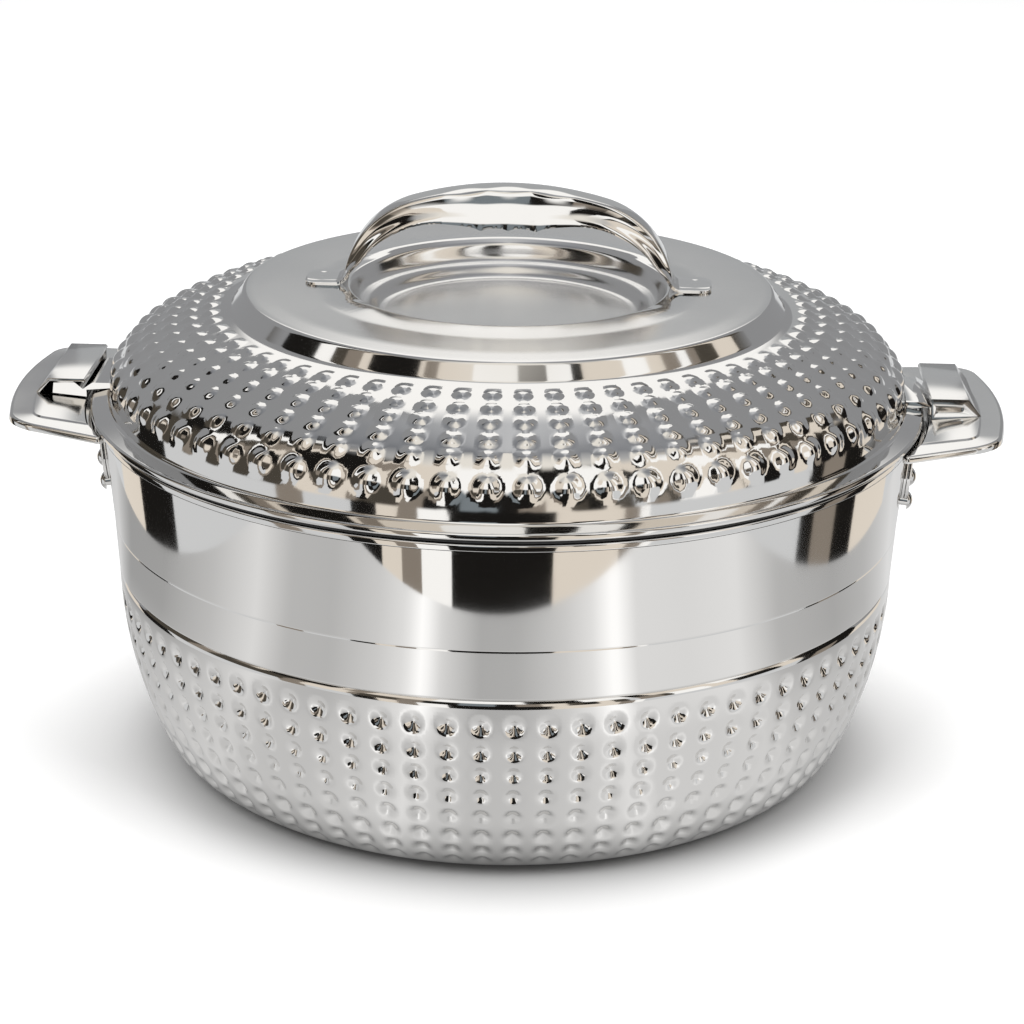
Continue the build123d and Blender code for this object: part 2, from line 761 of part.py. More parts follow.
def tab_form(inset, bottom_drop):
    """Side view of a lid tab: pad on the flange, valley at its edge, ramp up to the keeper's cover."""
    tab_top = cover_under - tab_play - inset
    pad_top = dome_foot + tab_pad_rise - inset
    shelf = dome_foot - bottom_drop
    clear_edge = lid_radius + tab_edge_clearance
    root = dome_radius - tab_root_overlap
    with BuildSketch(Plane.XZ.offset(-tab_rear + inset)) as section:
        with BuildLine():
            Polyline(
                (root, pad_top),
                (tab_pad_end, pad_top),
                (tab_valley, pad_top - tab_valley_drop),
                (tab_valley + tab_ramp_width, tab_top),
                (tab_end - inset, tab_top),
                (tab_end - inset, panel_level(tab_end) + tab_floor_gap - bottom_drop),
                (clear_edge, panel_level(clear_edge) + tab_floor_gap - bottom_drop),
                (clear_edge, shelf),
                (root, shelf),
                close=True,
            )
        make_face()
        fillet(section.vertices().sort_by(Axis.X)[-2:].sort_by(Axis.Y)[-1], tab_end_round - inset)
    return section.sketch


with BuildPart() as right_lid_tab:
    extrude(tab_form(0, -seat_gap), amount=tab_rear - tab_front)
    hollow_length = tab_rear - tab_front - 2 * tab_gauge
    extrude(tab_form(tab_gauge, tab_gauge + over_cut), amount=hollow_length, mode=Mode.SUBTRACT)
    Cylinder(dome_radius + running_gap, clear_height, mode=Mode.SUBTRACT)

with BuildPart() as left_lid_tab:
    add(mirror(right_lid_tab.part, about=Plane.YZ))


# ------------------------------------------------------------------ export
pieces = {
    "outer_shell": outer_shell.part,
    "inner_bowl": inner_bowl.part,
    "pot_insulation": pot_insulation.part,
    "base_fill_plug": base_fill_plug,
    "left_side_handle": left_side_handle.part,
    "right_side_handle": right_side_handle.part,
    "left_keeper": left_keeper,
    "right_keeper": right_keeper,
    "handle_rivets": handle_rivets.part,
    "left_rivet_backing": left_rivet_backing.part,
    "right_rivet_backing": right_rivet_backing.part,
    "rim_seal": rim_seal.part,
    "lid_shell": lid_shell.part,
    "lid_liner": lid_liner.part,
    "lid_insulation": lid_insulation.part,
    "lid_fill_plug": lid_fill_plug,
    "lid_handle": lid_handle.part,
    "left_lid_tab": left_lid_tab.part,
    "right_lid_tab": right_lid_tab.part,
}

os.makedirs("parts", exist_ok=True)
for name, piece in pieces.items():
    piece.label = name
    export_step(piece, f"parts/{name}.step")
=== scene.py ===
"""Insulated chapati casserole: the finished surfaces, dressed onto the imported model."""
import json
import math

import bmesh
import bpy
from bpy.props import FloatProperty, FloatVectorProperty, IntProperty, PointerProperty
from mathutils import Matrix, Vector

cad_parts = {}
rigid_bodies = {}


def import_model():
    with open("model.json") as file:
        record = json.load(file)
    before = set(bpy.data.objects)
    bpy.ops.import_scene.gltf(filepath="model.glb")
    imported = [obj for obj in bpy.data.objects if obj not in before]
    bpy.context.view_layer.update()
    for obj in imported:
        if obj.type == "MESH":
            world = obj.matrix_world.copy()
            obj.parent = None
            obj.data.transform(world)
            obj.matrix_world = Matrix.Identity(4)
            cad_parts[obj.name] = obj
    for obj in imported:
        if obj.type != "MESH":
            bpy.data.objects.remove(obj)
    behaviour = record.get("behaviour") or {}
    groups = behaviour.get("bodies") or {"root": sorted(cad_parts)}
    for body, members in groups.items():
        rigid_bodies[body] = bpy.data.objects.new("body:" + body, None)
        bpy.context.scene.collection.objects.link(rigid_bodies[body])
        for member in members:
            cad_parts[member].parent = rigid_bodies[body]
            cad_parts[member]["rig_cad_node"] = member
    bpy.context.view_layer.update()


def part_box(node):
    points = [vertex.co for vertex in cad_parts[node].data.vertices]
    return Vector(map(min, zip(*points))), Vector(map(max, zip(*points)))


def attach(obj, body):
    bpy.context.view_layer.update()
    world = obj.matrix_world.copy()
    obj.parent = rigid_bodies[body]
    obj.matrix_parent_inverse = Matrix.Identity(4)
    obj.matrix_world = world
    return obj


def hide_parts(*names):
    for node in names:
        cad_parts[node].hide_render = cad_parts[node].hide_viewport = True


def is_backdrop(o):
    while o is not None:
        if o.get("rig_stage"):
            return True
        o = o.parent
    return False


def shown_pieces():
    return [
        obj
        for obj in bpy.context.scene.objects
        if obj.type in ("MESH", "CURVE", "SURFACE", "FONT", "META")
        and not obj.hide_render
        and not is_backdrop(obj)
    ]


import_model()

bl_info = {
    "name": "Chapati casserole",
    "version": (1, 0, 0),
    "blender": (4, 5, 0),
    "location": "3D View > Sidebar > Casserole",
    "description": "Makes the sheet-metal skins, handles, twist lock and stage of a chapati casserole",
    "category": "Add Mesh",
}

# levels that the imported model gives: the brim's top, and the undersides of the lid and of the bow's feet
BRIM_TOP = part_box("inner_bowl")[1][2]
LID_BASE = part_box("lid_shell")[0][2]
LAND_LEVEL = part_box("lid_handle")[0][2]


# ---------------------------------------------------------------- sizes and colours
def length(label, about, size):
    """A size in metres that the panel shows."""
    return FloatProperty(name=label, description=about, default=size, min=0.0, precision=5, unit="LENGTH")


def bearing(label, about, degrees):
    """An angle about the pot's axis that the panel shows."""
    return FloatProperty(name=label, description=about, default=math.radians(degrees), unit="ROTATION")


def paint(label, about, colour):
    """A colour that the panel shows."""
    return FloatVectorProperty(
        name=label, description=about, default=colour, size=3, min=0.0, max=1.0, subtype="COLOR"
    )


class PotSizes(bpy.types.PropertyGroup):
    columns: IntProperty(name="Dimple columns", description="Columns of dimples round the belly", default=80)
    first_column: bearing("First column", "Bearing of the first column", 3.7)
    dimple_depth: length("Dimple depth", "How far the punch went in", 0.0022)
    dimple_reach: length("Dimple radius", "Radius of the punched cone", 0.0036)
    sheet: length("Sheet", "Thickness of the outer sheet", 0.0008)
    rim_radius: length("Rim radius", "Outside radius at the top edge", 0.146)


class LidSizes(bpy.types.PropertyGroup):
    columns: IntProperty(name="Bump columns", description="Columns of bumps round the dome", default=68)
    first_column: bearing("First column", "Bearing of the first column", 4.96)
    bump_height: length("Bump height", "How far a bump of the lowest row stands up", 0.0015)
    bump_reach: length("Bump radius", "Radius of a bump of the lowest row", 0.0046)
    sheet: length("Sheet", "Thickness of the lid's sheet", 0.0008)


class Finishes(bpy.types.PropertyGroup):
    steel: paint("Steel", "Polished steel", (0.80, 0.79, 0.775))
    satin: paint("Satin steel", "Brushed steel of the side handles", (0.80, 0.79, 0.775))
    rubber: paint("Rubber", "Rim seal", (0.012, 0.012, 0.013))
    plug: paint("Plug", "Moulded plugs in the filling holes", (0.10, 0.10, 0.105))
    foam: paint("Foam", "Rigid foam between the sheets", (0.78, 0.66, 0.36))


# ---------------------------------------------------------------- drawing and picking
def choose(*pieces):
    """Leave edit mode and select only these pieces, with the first of them active."""
    if bpy.context.object and bpy.context.object.mode != "OBJECT":
        bpy.ops.object.mode_set(mode="OBJECT")
    bpy.ops.object.select_all(action="DESELECT")
    for piece in pieces:
        piece.select_set(True)
    if pieces:
        bpy.context.view_layer.objects.active = pieces[0]


def open_mesh(piece):
    """Put one piece into edit mode with all of it selected."""
    choose(piece)
    bpy.ops.object.mode_set(mode="EDIT")
    bpy.ops.mesh.select_mode(type="VERT")
    bpy.ops.mesh.select_all(action="SELECT")


def close_mesh():
    """Leave edit mode and hand back the piece."""
    bpy.ops.object.mode_set(mode="OBJECT")
    return bpy.context.object


def opened():
    """The mesh that is open, for looking at its points and faces."""
    return bmesh.from_edit_mesh(bpy.context.edit_object.data)


def pick(test, kind="VERT"):
    """Select the points, or the faces by their centres, that pass the test, in the mesh that is open."""
    bpy.ops.mesh.select_mode(type=kind)
    bpy.ops.mesh.select_all(action="DESELECT")
    mesh = opened()
    if kind == "VERT":
        found = [point for point in mesh.verts if test(point.co)]
    else:
        found = [face for face in mesh.faces if test(face.calc_center_median())]
    for part in found:
        part.select = True
    mesh.select_flush_mode()
    bmesh.update_edit_mesh(bpy.context.edit_object.data)
    if not found:
        raise RuntimeError("nothing was found at the place to be worked on")


def pull(push):
    """Extrude what is selected by a vector."""
    bpy.ops.mesh.extrude_region_move(TRANSFORM_OT_translate={"value": push})


def draw_chain(name, places, closed=False):
    """Draw a chain of edges by pulling one point along the places given."""
    choose()
    bpy.ops.mesh.primitive_plane_add(size=0.001, location=(0, 0, 0))
    piece = bpy.context.object
    piece.name = name
    piece.data.name = name
    open_mesh(piece)
    bpy.ops.mesh.merge(type="CENTER")
    bpy.ops.transform.translate(value=places[0])
    for before, after in zip(places, places[1:]):
        pull(Vector(after) - Vector(before))
    if closed:
        mesh = opened()
        bpy.ops.mesh.select_all(action="DESELECT")
        for point in mesh.verts:
            point.select = len(point.link_edges) == 1
        mesh.select_flush_mode()
        bpy.ops.mesh.edge_face_add()
    bpy.ops.mesh.select_all(action="SELECT")
    return piece


def draw_plate(name, places):
    """Draw a closed chain of edges and fill it with one face."""
    piece = draw_chain(name, places, True)
    bpy.ops.mesh.edge_face_add()
    return piece


def tidy_mesh():
    """Merge doubled points and turn every face outwards, in the mesh that is open."""
    bpy.ops.mesh.select_mode(type="VERT")
    bpy.ops.mesh.select_all(action="SELECT")
    bpy.ops.mesh.remove_doubles(threshold=0.00001)
    bpy.ops.mesh.normals_make_consistent(inside=False)


def tidied(piece):
    """Tidy the mesh of a piece and hand the piece back."""
    open_mesh(piece)
    tidy_mesh()
    return close_mesh()


def turn_open(angle):
    """Turn what is selected in the open mesh about the pot's axis."""
    bpy.ops.transform.rotate(value=angle, orient_axis="Z", center_override=(0, 0, 0))


def spin_open(steps, angle):
    """Spin what is selected in the open mesh about the pot's axis."""
    bpy.ops.mesh.spin(steps=steps, angle=angle, center=(0, 0, 0), axis=(0, 0, 1))


def spin_round(name, outline, steps, closed):
    """Spin an outline of (radius, height) pairs all the way round the pot's axis."""
    draw_chain(name, [(radius, 0, height) for radius, height in outline], closed)
    spin_open(steps, math.tau)
    tidy_mesh()
    return close_mesh()


def start_wedge(name, outline, columns, closed):
    """Wedge of a spun sheet, one column wide and centred on the X axis, left open for punching."""
    steps, width = 10, math.tau / columns
    piece = draw_chain(name, [(radius, 0, height) for radius, height in outline], closed)
    turn_open(-width / 2)
    spin_open(steps, width)
    across = [point.co.y for point in opened().verts]
    if abs(min(across) + max(across)) > 0.0001:
        raise RuntimeError(f"the wedge of {name} isn't centred")
    return piece


def punch(place, push, reach, falloff):
    """Push one point of the open mesh, and with it the sheet round it."""
    pick(lambda point: (point - place).length < 0.0001)
    bpy.ops.transform.translate(
        value=push,
        use_proportional_edit=True,
        proportional_edit_falloff=falloff,
        proportional_size=reach,
        use_proportional_connected=False,
    )


def modify(piece, kind, **settings):
    """Give a piece a modifier with these settings and apply it."""
    modifier = piece.modifiers.new(kind, kind)
    for name, value in settings.items():
        setattr(modifier, name, value)
    choose(piece)
    bpy.ops.object.modifier_apply(modifier=modifier.name)


def repeat_round(piece, count, first):
    """Repeat a wedge all the way round, weld its seams, and turn it to the bearing of its first column."""
    choose()
    bpy.ops.object.empty_add(location=(0, 0, 0), rotation=(0, 0, math.tau / count))
    turn = bpy.context.object
    modify(
        piece,
        "ARRAY",
        count=count,
        use_relative_offset=False,
        use_object_offset=True,
        offset_object=turn,
        use_merge_vertices=True,
        use_merge_vertices_cap=True,
        merge_threshold=0.00002,
    )
    bpy.data.objects.remove(turn)
    open_mesh(piece)
    tidy_mesh()
    turn_open(-first)
    close_mesh()


def thicken(piece, gauge):
    """Give an open sheet its thickness, on the side that its faces turn away from."""
    modify(piece, "SOLIDIFY", thickness=gauge, offset=-1)


def soften(piece, width, segments=2, degrees=30):
    """Take the sharpness off every edge that turns by more than some degrees."""
    sharp = math.radians(degrees)
    modify(piece, "BEVEL", width=width, segments=segments, limit_method="ANGLE", angle_limit=sharp)


def cut_with(piece, cutter, operation):
    """Cut, keep or add the cutter's shape, and throw the cutter away."""
    modify(piece, "BOOLEAN", operation=operation, solver="EXACT", object=cutter)
    bpy.data.objects.remove(cutter)
    return tidied(piece)


def block(name, corners, axis, start, end):
    """Solid block with the outline given in the plane across an axis, from start to end along it."""
    if axis == "X":
        places = [(start, across, height) for across, height in corners]
    else:
        places = [(across, start, height) for across, height in corners]
    draw_plate(name, places)
    pull((end - start, 0, 0) if axis == "X" else (0, end - start, 0))
    tidy_mesh()
    return close_mesh()


def copied(piece):
    """Copy of a piece, with a mesh of its own."""
    choose(piece)
    bpy.ops.object.duplicate(linked=False)
    return bpy.context.object


def joined(name, pieces):
    """Join pieces into the first of them, under a name of their own."""
    choose(*pieces)
    bpy.ops.object.join()
    pieces[0].name = name
    return pieces[0]


def mirror(piece, name):
    """Mirror a piece to the other side, under a name of its own."""
    piece.name = name
    piece.data.name = name
    open_mesh(piece)
    bpy.ops.transform.resize(value=(-1, 1, 1), center_override=(0, 0, 0))
    tidy_mesh()
    return close_mesh()


def smooth(piece, degrees):
    """Shade smooth, with creases sharper than some degrees kept."""
    choose(piece)
    bpy.ops.object.shade_smooth_by_angle(angle=math.radians(degrees))


def finish_piece(piece, body, slot, material, *nodes):
    """Give a piece its material and body, and let it stand for its solids; the slot is not used."""
    piece.data.materials.clear()
    piece.data.materials.append(material)
    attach(piece, body)
    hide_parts(*nodes)


# ---------------------------------------------------------------- outlines
def arc(centre, radius, start, end, steps):
    """Points on an arc of a section, from one angle in degrees to another."""
    angles = [math.radians(start + (end - start) * step / steps) for step in range(steps + 1)]
    return [(centre[0] + radius * math.cos(angle), centre[1] + radius * math.sin(angle)) for angle in angles]


def rounded(corners, steps=5, guard=0.0005):
    """Outline through (radius, height, rounding) corners, with a guard row beside each rounding."""
    line = []
    for index, corner in enumerate(corners):
        here = Vector(corner[:2])
        if len(corner) == 2:
            line.append(here)
            continue
        before = (Vector(corners[index - 1][:2]) - here).normalized()
        after = (Vector(corners[(index + 1) % len(corners)][:2]) - here).normalized()
        half = before.angle(after) / 2
        reach = corner[2] / math.tan(half)
        centre = here + (before + after).normalized() * corner[2] / math.sin(half)
        first = here + before * reach
        last = here + after * reach
        if guard:
            line.append(here + before * (reach + guard))
        swing = (first - centre).angle_signed(last - centre)
        for step in range(steps + 1):
            spoke = (first - centre).copy()
            spoke.rotate(Matrix.Rotation(-swing * step / steps, 2))
            line.append(centre + spoke)
        if guard:
            line.append(here + after * (reach + guard))
    return [(point[0], point[1]) for point in line]


def chord_arc(start, end, sagitta):
    """Centre and radius of the arc from start to end that bulges up by the sagitta."""
    start, end = Vector(start), Vector(end)
    chord = end - start
    radius = chord.length_squared / (8 * sagitta) + sagitta / 2
    up = Vector((-chord.y, chord.x)).normalized()
    up = up if up.y > 0 else -up
    return (start + end) / 2 - up * (radius - sagitta), radius


def onward_arc(centre, start, end):
    """Centre and radius of the arc that goes on smoothly from start to end."""
    centre, start, end = Vector(centre), Vector(start), Vector(end)
    inward = (centre - start).normalized()
    chord = end - start
    radius = chord.length_squared / (2 * chord.dot(inward))
    return start + inward * radius, radius


def length_of(arcs):
    """Length along joined arcs, each a centre, a radius and the degrees of its two ends."""
    return sum(radius * math.radians(abs(end - start)) for _, radius, start, end in arcs)


def on_arcs(arcs, distance):
    """Point and outward direction at a distance along joined arcs."""
    for centre, radius, start, end in arcs:
        span = radius * math.radians(abs(end - start))
        if distance <= span or (centre, radius, start, end) == arcs[-1]:
            angle = math.radians(start + (end - start) * distance / span)
            outward = Vector((math.cos(angle), math.sin(angle)))
            return Vector(centre) + outward * radius, outward
        distance -= span


def beside_arcs(arcs, distances, inset=0):
    """Points at some distances along joined arcs, set in from them."""
    line = [on_arcs(arcs, distance) for distance in distances]
    return [tuple(place - outward * inset) for place, outward in line]


def distance_where(arcs, reached):
    """Distance along joined arcs at which the test of a point first holds."""
    near, far = 0.0, length_of(arcs)
    for _ in range(40):
        middle = (near + far) / 2
        if reached(on_arcs(arcs, middle)[0]):
            far = middle
        else:
            near = middle
    return far


def rows_between(stops, pitch):
    """Distances that include every stop, with even steps of about the pitch between them."""
    rows = []
    for near, far in zip(stops, stops[1:]):
        count = max(1, round((far - near) / pitch))
        rows += [near + (far - near) * step / count for step in range(count)]
    return rows + [stops[-1]]


# ---------------------------------------------------------------- materials
def add_node(tree, kind, inputs=None, **settings):
    """Add a shader node; each input is given its value, or the output that feeds it."""
    node = tree.nodes.new("ShaderNode" + kind)
    for name, value in settings.items():
        setattr(node, name, value)
    for name, value in (inputs or {}).items():
        if isinstance(value, bpy.types.NodeSocket):
            tree.links.new(value, node.inputs[name])
        else:
            node.inputs[name].default_value = value
    return node


def on_object(tree):
    """Object coordinates of the shaded point."""
    return add_node(tree, "TexCoord").outputs["Object"]


def calculate(tree, operation, first, second, clamp=False):
    """What an operation makes of two numbers."""
    inputs = {0: first, 1: second}
    return add_node(tree, "Math", inputs, operation=operation, use_clamp=clamp).outputs["Value"]


def spread(tree, value, low, high, start=0.0, end=1.0, curve="LINEAR"):
    """Spread the values from start to end over the range from low to high."""
    inputs = {"Value": value, "From Min": start, "From Max": end, "To Min": low, "To Max": high}
    return add_node(tree, "MapRange", inputs, interpolation_type=curve).outputs["Result"]


def ramp(tree, factor, stops, curve="LINEAR"):
    """Colours along a ramp of (position, colour) stops, the first of them at its start."""
    node = add_node(tree, "ValToRGB", {"Fac": factor})
    elements = node.color_ramp.elements
    node.color_ramp.interpolation = curve
    elements.remove(elements[1])
    elements[0].color = (*stops[0][1], 1)
    for position, colour in stops[1:]:
        elements.new(position).color = (*colour, 1)
    return node.outputs["Color"]


def from_axis(tree):
    """Distance of the shaded point from the pot's axis."""
    level = (1, 1, 0)
    flat = add_node(tree, "VectorMath", {0: on_object(tree), 1: level}, operation="MULTIPLY")
    return add_node(tree, "VectorMath", {0: flat.outputs["Vector"]}, operation="LENGTH").outputs["Value"]


def noise(tree, scale, detail=2.0, roughness=0.5):
    """Noise that is fixed to the piece."""
    inputs = {"Vector": on_object(tree), "Scale": scale, "Detail": detail, "Roughness": roughness}
    return add_node(tree, "TexNoise", inputs).outputs["Fac"]


def grain(tree, height, strength, depth):
    """Normal of a surface whose relief follows the height."""
    inputs = {"Height": height, "Strength": strength, "Distance": depth}
    return add_node(tree, "Bump", inputs).outputs["Normal"]


def shared_group(name, build, inputs, outputs):
    """Node group of a name, built when it is first asked for."""
    group = bpy.data.node_groups.get(name)
    if group:
        return group
    group = bpy.data.node_groups.new(name, "ShaderNodeTree")
    for label, (kind, default) in inputs.items():
        group.interface.new_socket(label, in_out="INPUT", socket_type=kind).default_value = default
    for label, kind in outputs.items():
        group.interface.new_socket(label, in_out="OUTPUT", socket_type=kind)
    given = group.nodes.new("NodeGroupInput")
    output = group.nodes.new("NodeGroupOutput")
    for label, result in build(group, given.outputs).items():
        group.links.new(result, output.inputs[label])
    return group


def shared_material(name, build):
    """Material of a name, whose surface is built when it is first asked for."""
    made = bpy.data.materials.get(name)
    if made:
        return made
    made = bpy.data.materials.new(name)
    made.use_nodes = True
    made.node_tree.nodes.clear()
    add_node(made.node_tree, "OutputMaterial", {"Surface": build(made.node_tree)})
    return made


def finish(name, build, **settings):
    """Material with a Principled shader, whose inputs are what the build gives."""
    return shared_material(
        name, lambda tree: add_node(tree, "BsdfPrincipled", build(tree, **settings)).outputs["BSDF"]
    )


def smudges_and_waves(tree, given):
    """Faint smudges in the roughness, and a slight waviness."""
    smudge = noise(tree, given["Smudge Scale"], detail=4.0, roughness=0.6)
    wave = noise(tree, 45.0, detail=1.0)
    return {
        "Roughness": spread(tree, smudge, given["Low"], given["High"], start=0.35, end=0.65),
        "Normal": grain(tree, wave, given["Wave"], 0.0004),
    }


def mottled_tone(tree, given):
    """The base colour with a faint mottle, as on rolled steel."""
    mottle = noise(tree, 9.0, detail=3.0)
    shade = {0: given["Colour"], "Scale": spread(tree, mottle, 0.97, 1.02)}
    return {"Colour": add_node(tree, "VectorMath", shade, operation="SCALE").outputs["Vector"]}


def handled_sheet(tree, low, high, **others):
    """Roughness and normal of handled sheet, between two roughnesses."""
    number = "NodeSocketFloat"
    defaults = {"Low": 0.04, "High": 0.10, "Smudge Scale": 18.0, "Wave": 0.02}
    group = shared_group(
        "handled_sheet",
        smudges_and_waves,
        {label: (number, default) for label, default in defaults.items()},
        {"Roughness": number, "Normal": "NodeSocketVector"},
    )
    sheet = add_node(tree, "Group", node_tree=group)
    for label, value in {"Low": low, "High": high, **others}.items():
        sheet.inputs[label].default_value = value
    return {"Roughness": sheet.outputs["Roughness"], "Normal": sheet.outputs["Normal"]}


def bare_steel(tree, colour, low, high, wave):
    """Bare steel between two roughnesses, with a slight waviness."""
    kind = "NodeSocketColor"
    group = shared_group("steel_tone", mottled_tone, {"Colour": (kind, (0.8, 0.8, 0.8, 1))}, {"Colour": kind})
    tone = add_node(tree, "Group", node_tree=group)
    tone.inputs["Colour"].default_value = (*colour, 1)
    sheet = handled_sheet(tree, low, high, Wave=wave)
    return {"Metallic": 1.0, "Base Color": tone.outputs["Colour"], **sheet}


def polished_steel(name):
    """Mirror-polished steel."""
    colour = bpy.context.scene.finishes.steel
    return finish(name, bare_steel, colour=colour, low=0.035, high=0.075, wave=0.015)


def satin_steel(name):
    """Finely brushed steel."""
    colour = bpy.context.scene.finishes.satin
    return finish(name, bare_steel, colour=colour, low=0.10, high=0.17, wave=0.012)


LID_RADIUS = 0.150
# what is added to the lid's roughness at a distance from its middle
LID_DULLNESS = (
    (0, 0.16),
    (0.054, 0.12),
    (0.0575, 0.02),
    (0.064, 0.03),
    (0.070, 0.13),
    (0.0915, 0.12),
    (0.0945, 0.0),
    (LID_RADIUS, 0.0),
)


def lid_steel():
    """Steel that is mirror-polished on the dome and left duller on the plateau and in the recess."""

    def duller(tree, **settings):
        inputs = bare_steel(tree, **settings)
        reach = calculate(tree, "DIVIDE", from_axis(tree), LID_RADIUS)
        zones = [(radius / LID_RADIUS, (dull,) * 3) for radius, dull in LID_DULLNESS]
        inputs["Roughness"] = calculate(tree, "ADD", inputs["Roughness"], ramp(tree, reach, zones))
        return inputs

    colour = bpy.context.scene.finishes.steel
    return finish("polished_lid", duller, colour=colour, low=0.045, high=0.085, wave=0.012)


def seal_rubber():
    """Black rubber with a faint bloom."""

    def rubber(tree, colour):
        return {"Base Color": (*colour, 1), **handled_sheet(tree, 0.45, 0.62, **{"Smudge Scale": 60.0})}

    return finish("black_rubber", rubber, colour=bpy.context.scene.finishes.rubber)


def moulded_plug():
    """Dark moulded plastic with a fine grain."""

    def plastic(tree, colour):
        speck = noise(tree, 900.0)
        rough = spread(tree, speck, 0.38, 0.55)
        return {"Base Color": (*colour, 1), "Roughness": rough, "Normal": grain(tree, speck, 0.2, 0.0001)}

    return finish("moulded_plug", plastic, colour=bpy.context.scene.finishes.plug)


def rigid_foam():
    """Pale rigid foam with open cells."""

    def foam(tree, colour):
        cells = add_node(tree, "TexVoronoi", {"Vector": on_object(tree), "Scale": 700.0}).outputs["Distance"]
        tone = ramp(tree, cells, ((0, [part * 0.72 for part in colour]), (1, colour)))
        return {"Base Color": tone, "Roughness": 0.9, "Normal": grain(tree, cells, 0.4, 0.0004)}

    return finish("rigid_foam", foam, colour=bpy.context.scene.finishes.foam)


# ---------------------------------------------------------------- pot
FOOT = 0.10906
# the belly's section as joined arcs: centre, radius, and the degrees at which the arc starts and ends
BELLY_ARCS = [
    ((FOOT, 0.022), 0.022, -90, -23.64),
    ((-0.0082, 0.0733), 0.150, -23.64, -0.92),
    ((0.13878, 0.0709), 0.003, -0.92, 55),
]
DIMPLE_HEIGHTS = (0.0066, 0.0119, 0.0190, 0.0276, 0.0364, 0.0454, 0.0542, 0.0638)
# the share of a dimple's depth that is a cone; the rest is a wider soft hollow
CONE_SHARE, HOLLOW_REACH = 0.8, 1.25
# radius and height of the line that is rolled into the wall
BAND = (0.1429, 0.0914)
RIM_HEIGHT = 0.1282


def wall_radius(height):
    """Outside radius of the pot's upper wall at a height."""
    radius, level = BAND
    flare = bpy.context.scene.pot_sizes.rim_radius - radius
    return radius + (height - level) * flare / (RIM_HEIGHT - level)


class CASSEROLE_OT_pot_shell(bpy.types.Operator):
    """Spin the pot's outer sheet, with its band line, its step and its punched belly"""

    bl_idname = "casserole.pot_shell"
    bl_label = "Pot shell"

    def execute(self, context):
        pot = context.scene.pot_sizes
        rim = pot.rim_radius
        pitch, lining_pitch = 0.0013, 0.005
        centres = [distance_where(BELLY_ARCS, lambda point: point.y > height) for height in DIMPLE_HEIGHTS]
        belly = beside_arcs(BELLY_ARCS, rows_between([0.0] + centres + [length_of(BELLY_ARCS)], pitch))
        base = rounded([(0.009, 0.0025), (0.09366, 0.0025, 0.002), (0.09866, 0, 0.002), (FOOT, 0)], 3)
        wall = [
            (0.1405, 0.07336),
            (0.1419, 0.07350, 0.0004),
            (0.14288, 0.0906, 0.0004),
            (0.14281, 0.0910),
            (*BAND, 0.0004),
            (rim, RIM_HEIGHT),
        ]
        wall = rounded(wall, 2, 0.0003)[1:]
        lining = [(rim - pot.sheet, RIM_HEIGHT), (0.1421, 0.0914), (0.1416, 0.0745), (0.1402, 0.0722)]
        lining += beside_arcs(BELLY_ARCS, rows_between([0.0] + centres, lining_pitch)[::-1], pot.sheet)
        lining += [(0.0988, pot.sheet), (0.0938, 0.0033), (0.009, 0.0033)]
        piece = start_wedge("pot_shell", base[:-1] + belly + wall + lining, pot.columns, True)
        for distance in centres:
            place, outward = on_arcs(BELLY_ARCS, distance)
            place = Vector((place.x, 0, place.y))
            push = -Vector((outward.x, 0, outward.y)) * pot.dimple_depth
            cone = push * CONE_SHARE
            punch(place, cone, pot.dimple_reach, "LINEAR")
            punch(place + cone, push * (1 - CONE_SHARE), pot.dimple_reach * HOLLOW_REACH, "SMOOTH")
        close_mesh()
        repeat_round(piece, pot.columns, pot.first_column)
        smooth(piece, 50)
        finish_piece(piece, "pot", "body_steel", polished_steel("polished_pot"), "outer_shell")
        return {"FINISHED"}


class CASSEROLE_OT_bowl(bpy.types.Operator):
    """Spin the inner bowl with the brim that is rolled down over the outer sheet"""

    bl_idname = "casserole.bowl"
    bl_label = "Inner bowl"

    def execute(self, context):
        floor, gauge = 0.0140, 0.0007
        outline = [
            (0, floor),
            (0.12600, floor, 0.018),
            (0.12800, BRIM_TOP, 0.0006),
            (0.14700, BRIM_TOP, 0.0009),
            (0.14700, BRIM_TOP - 0.0025, 0.0004),
            (0.14610, BRIM_TOP - 0.0025, 0.0003),
            (0.14610, BRIM_TOP - gauge, 0.0001),
            (0.12870, BRIM_TOP - gauge, 0.0008),
            (0.12670, floor - gauge, 0.0187),
            (0, floor - gauge),
        ]
        piece = spin_round("bowl", rounded(outline, 8), 240, False)
        smooth(piece, 50)
        finish_piece(piece, "pot", "bowl_steel", polished_steel("polished_bowl"), "inner_bowl")
        return {"FINISHED"}


class CASSEROLE_OT_seal(bpy.types.Operator):
    """Spin the rubber ring between the pot's brim and the lid"""

    bl_idname = "casserole.seal"
    bl_label = "Rim seal"

    def execute(self, context):
        low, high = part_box("rim_seal")
        under = BRIM_TOP + 0.0003
        over = LID_BASE - 0.0003
        inner, lip = 0.1259, 0.0006
        outline = [
            (inner, low[2], lip),
            (0.1276, low[2], lip),
            (0.1276, under, 0.0004),
            (high[0], under, lip),
            (high[0], over, lip),
            (0.1462, over, 0.0003),
            (0.1462, high[2], 0.0003),
            (inner, high[2], lip),
            (inner, low[2] + lip),
        ]
        piece = spin_round("seal", rounded(outline, 3, 0.0002)[1:-1], 240, True)
        smooth(piece, 50)
        finish_piece(piece, "seal", "seal_rubber", seal_rubber(), "rim_seal")
        return {"FINISHED"}


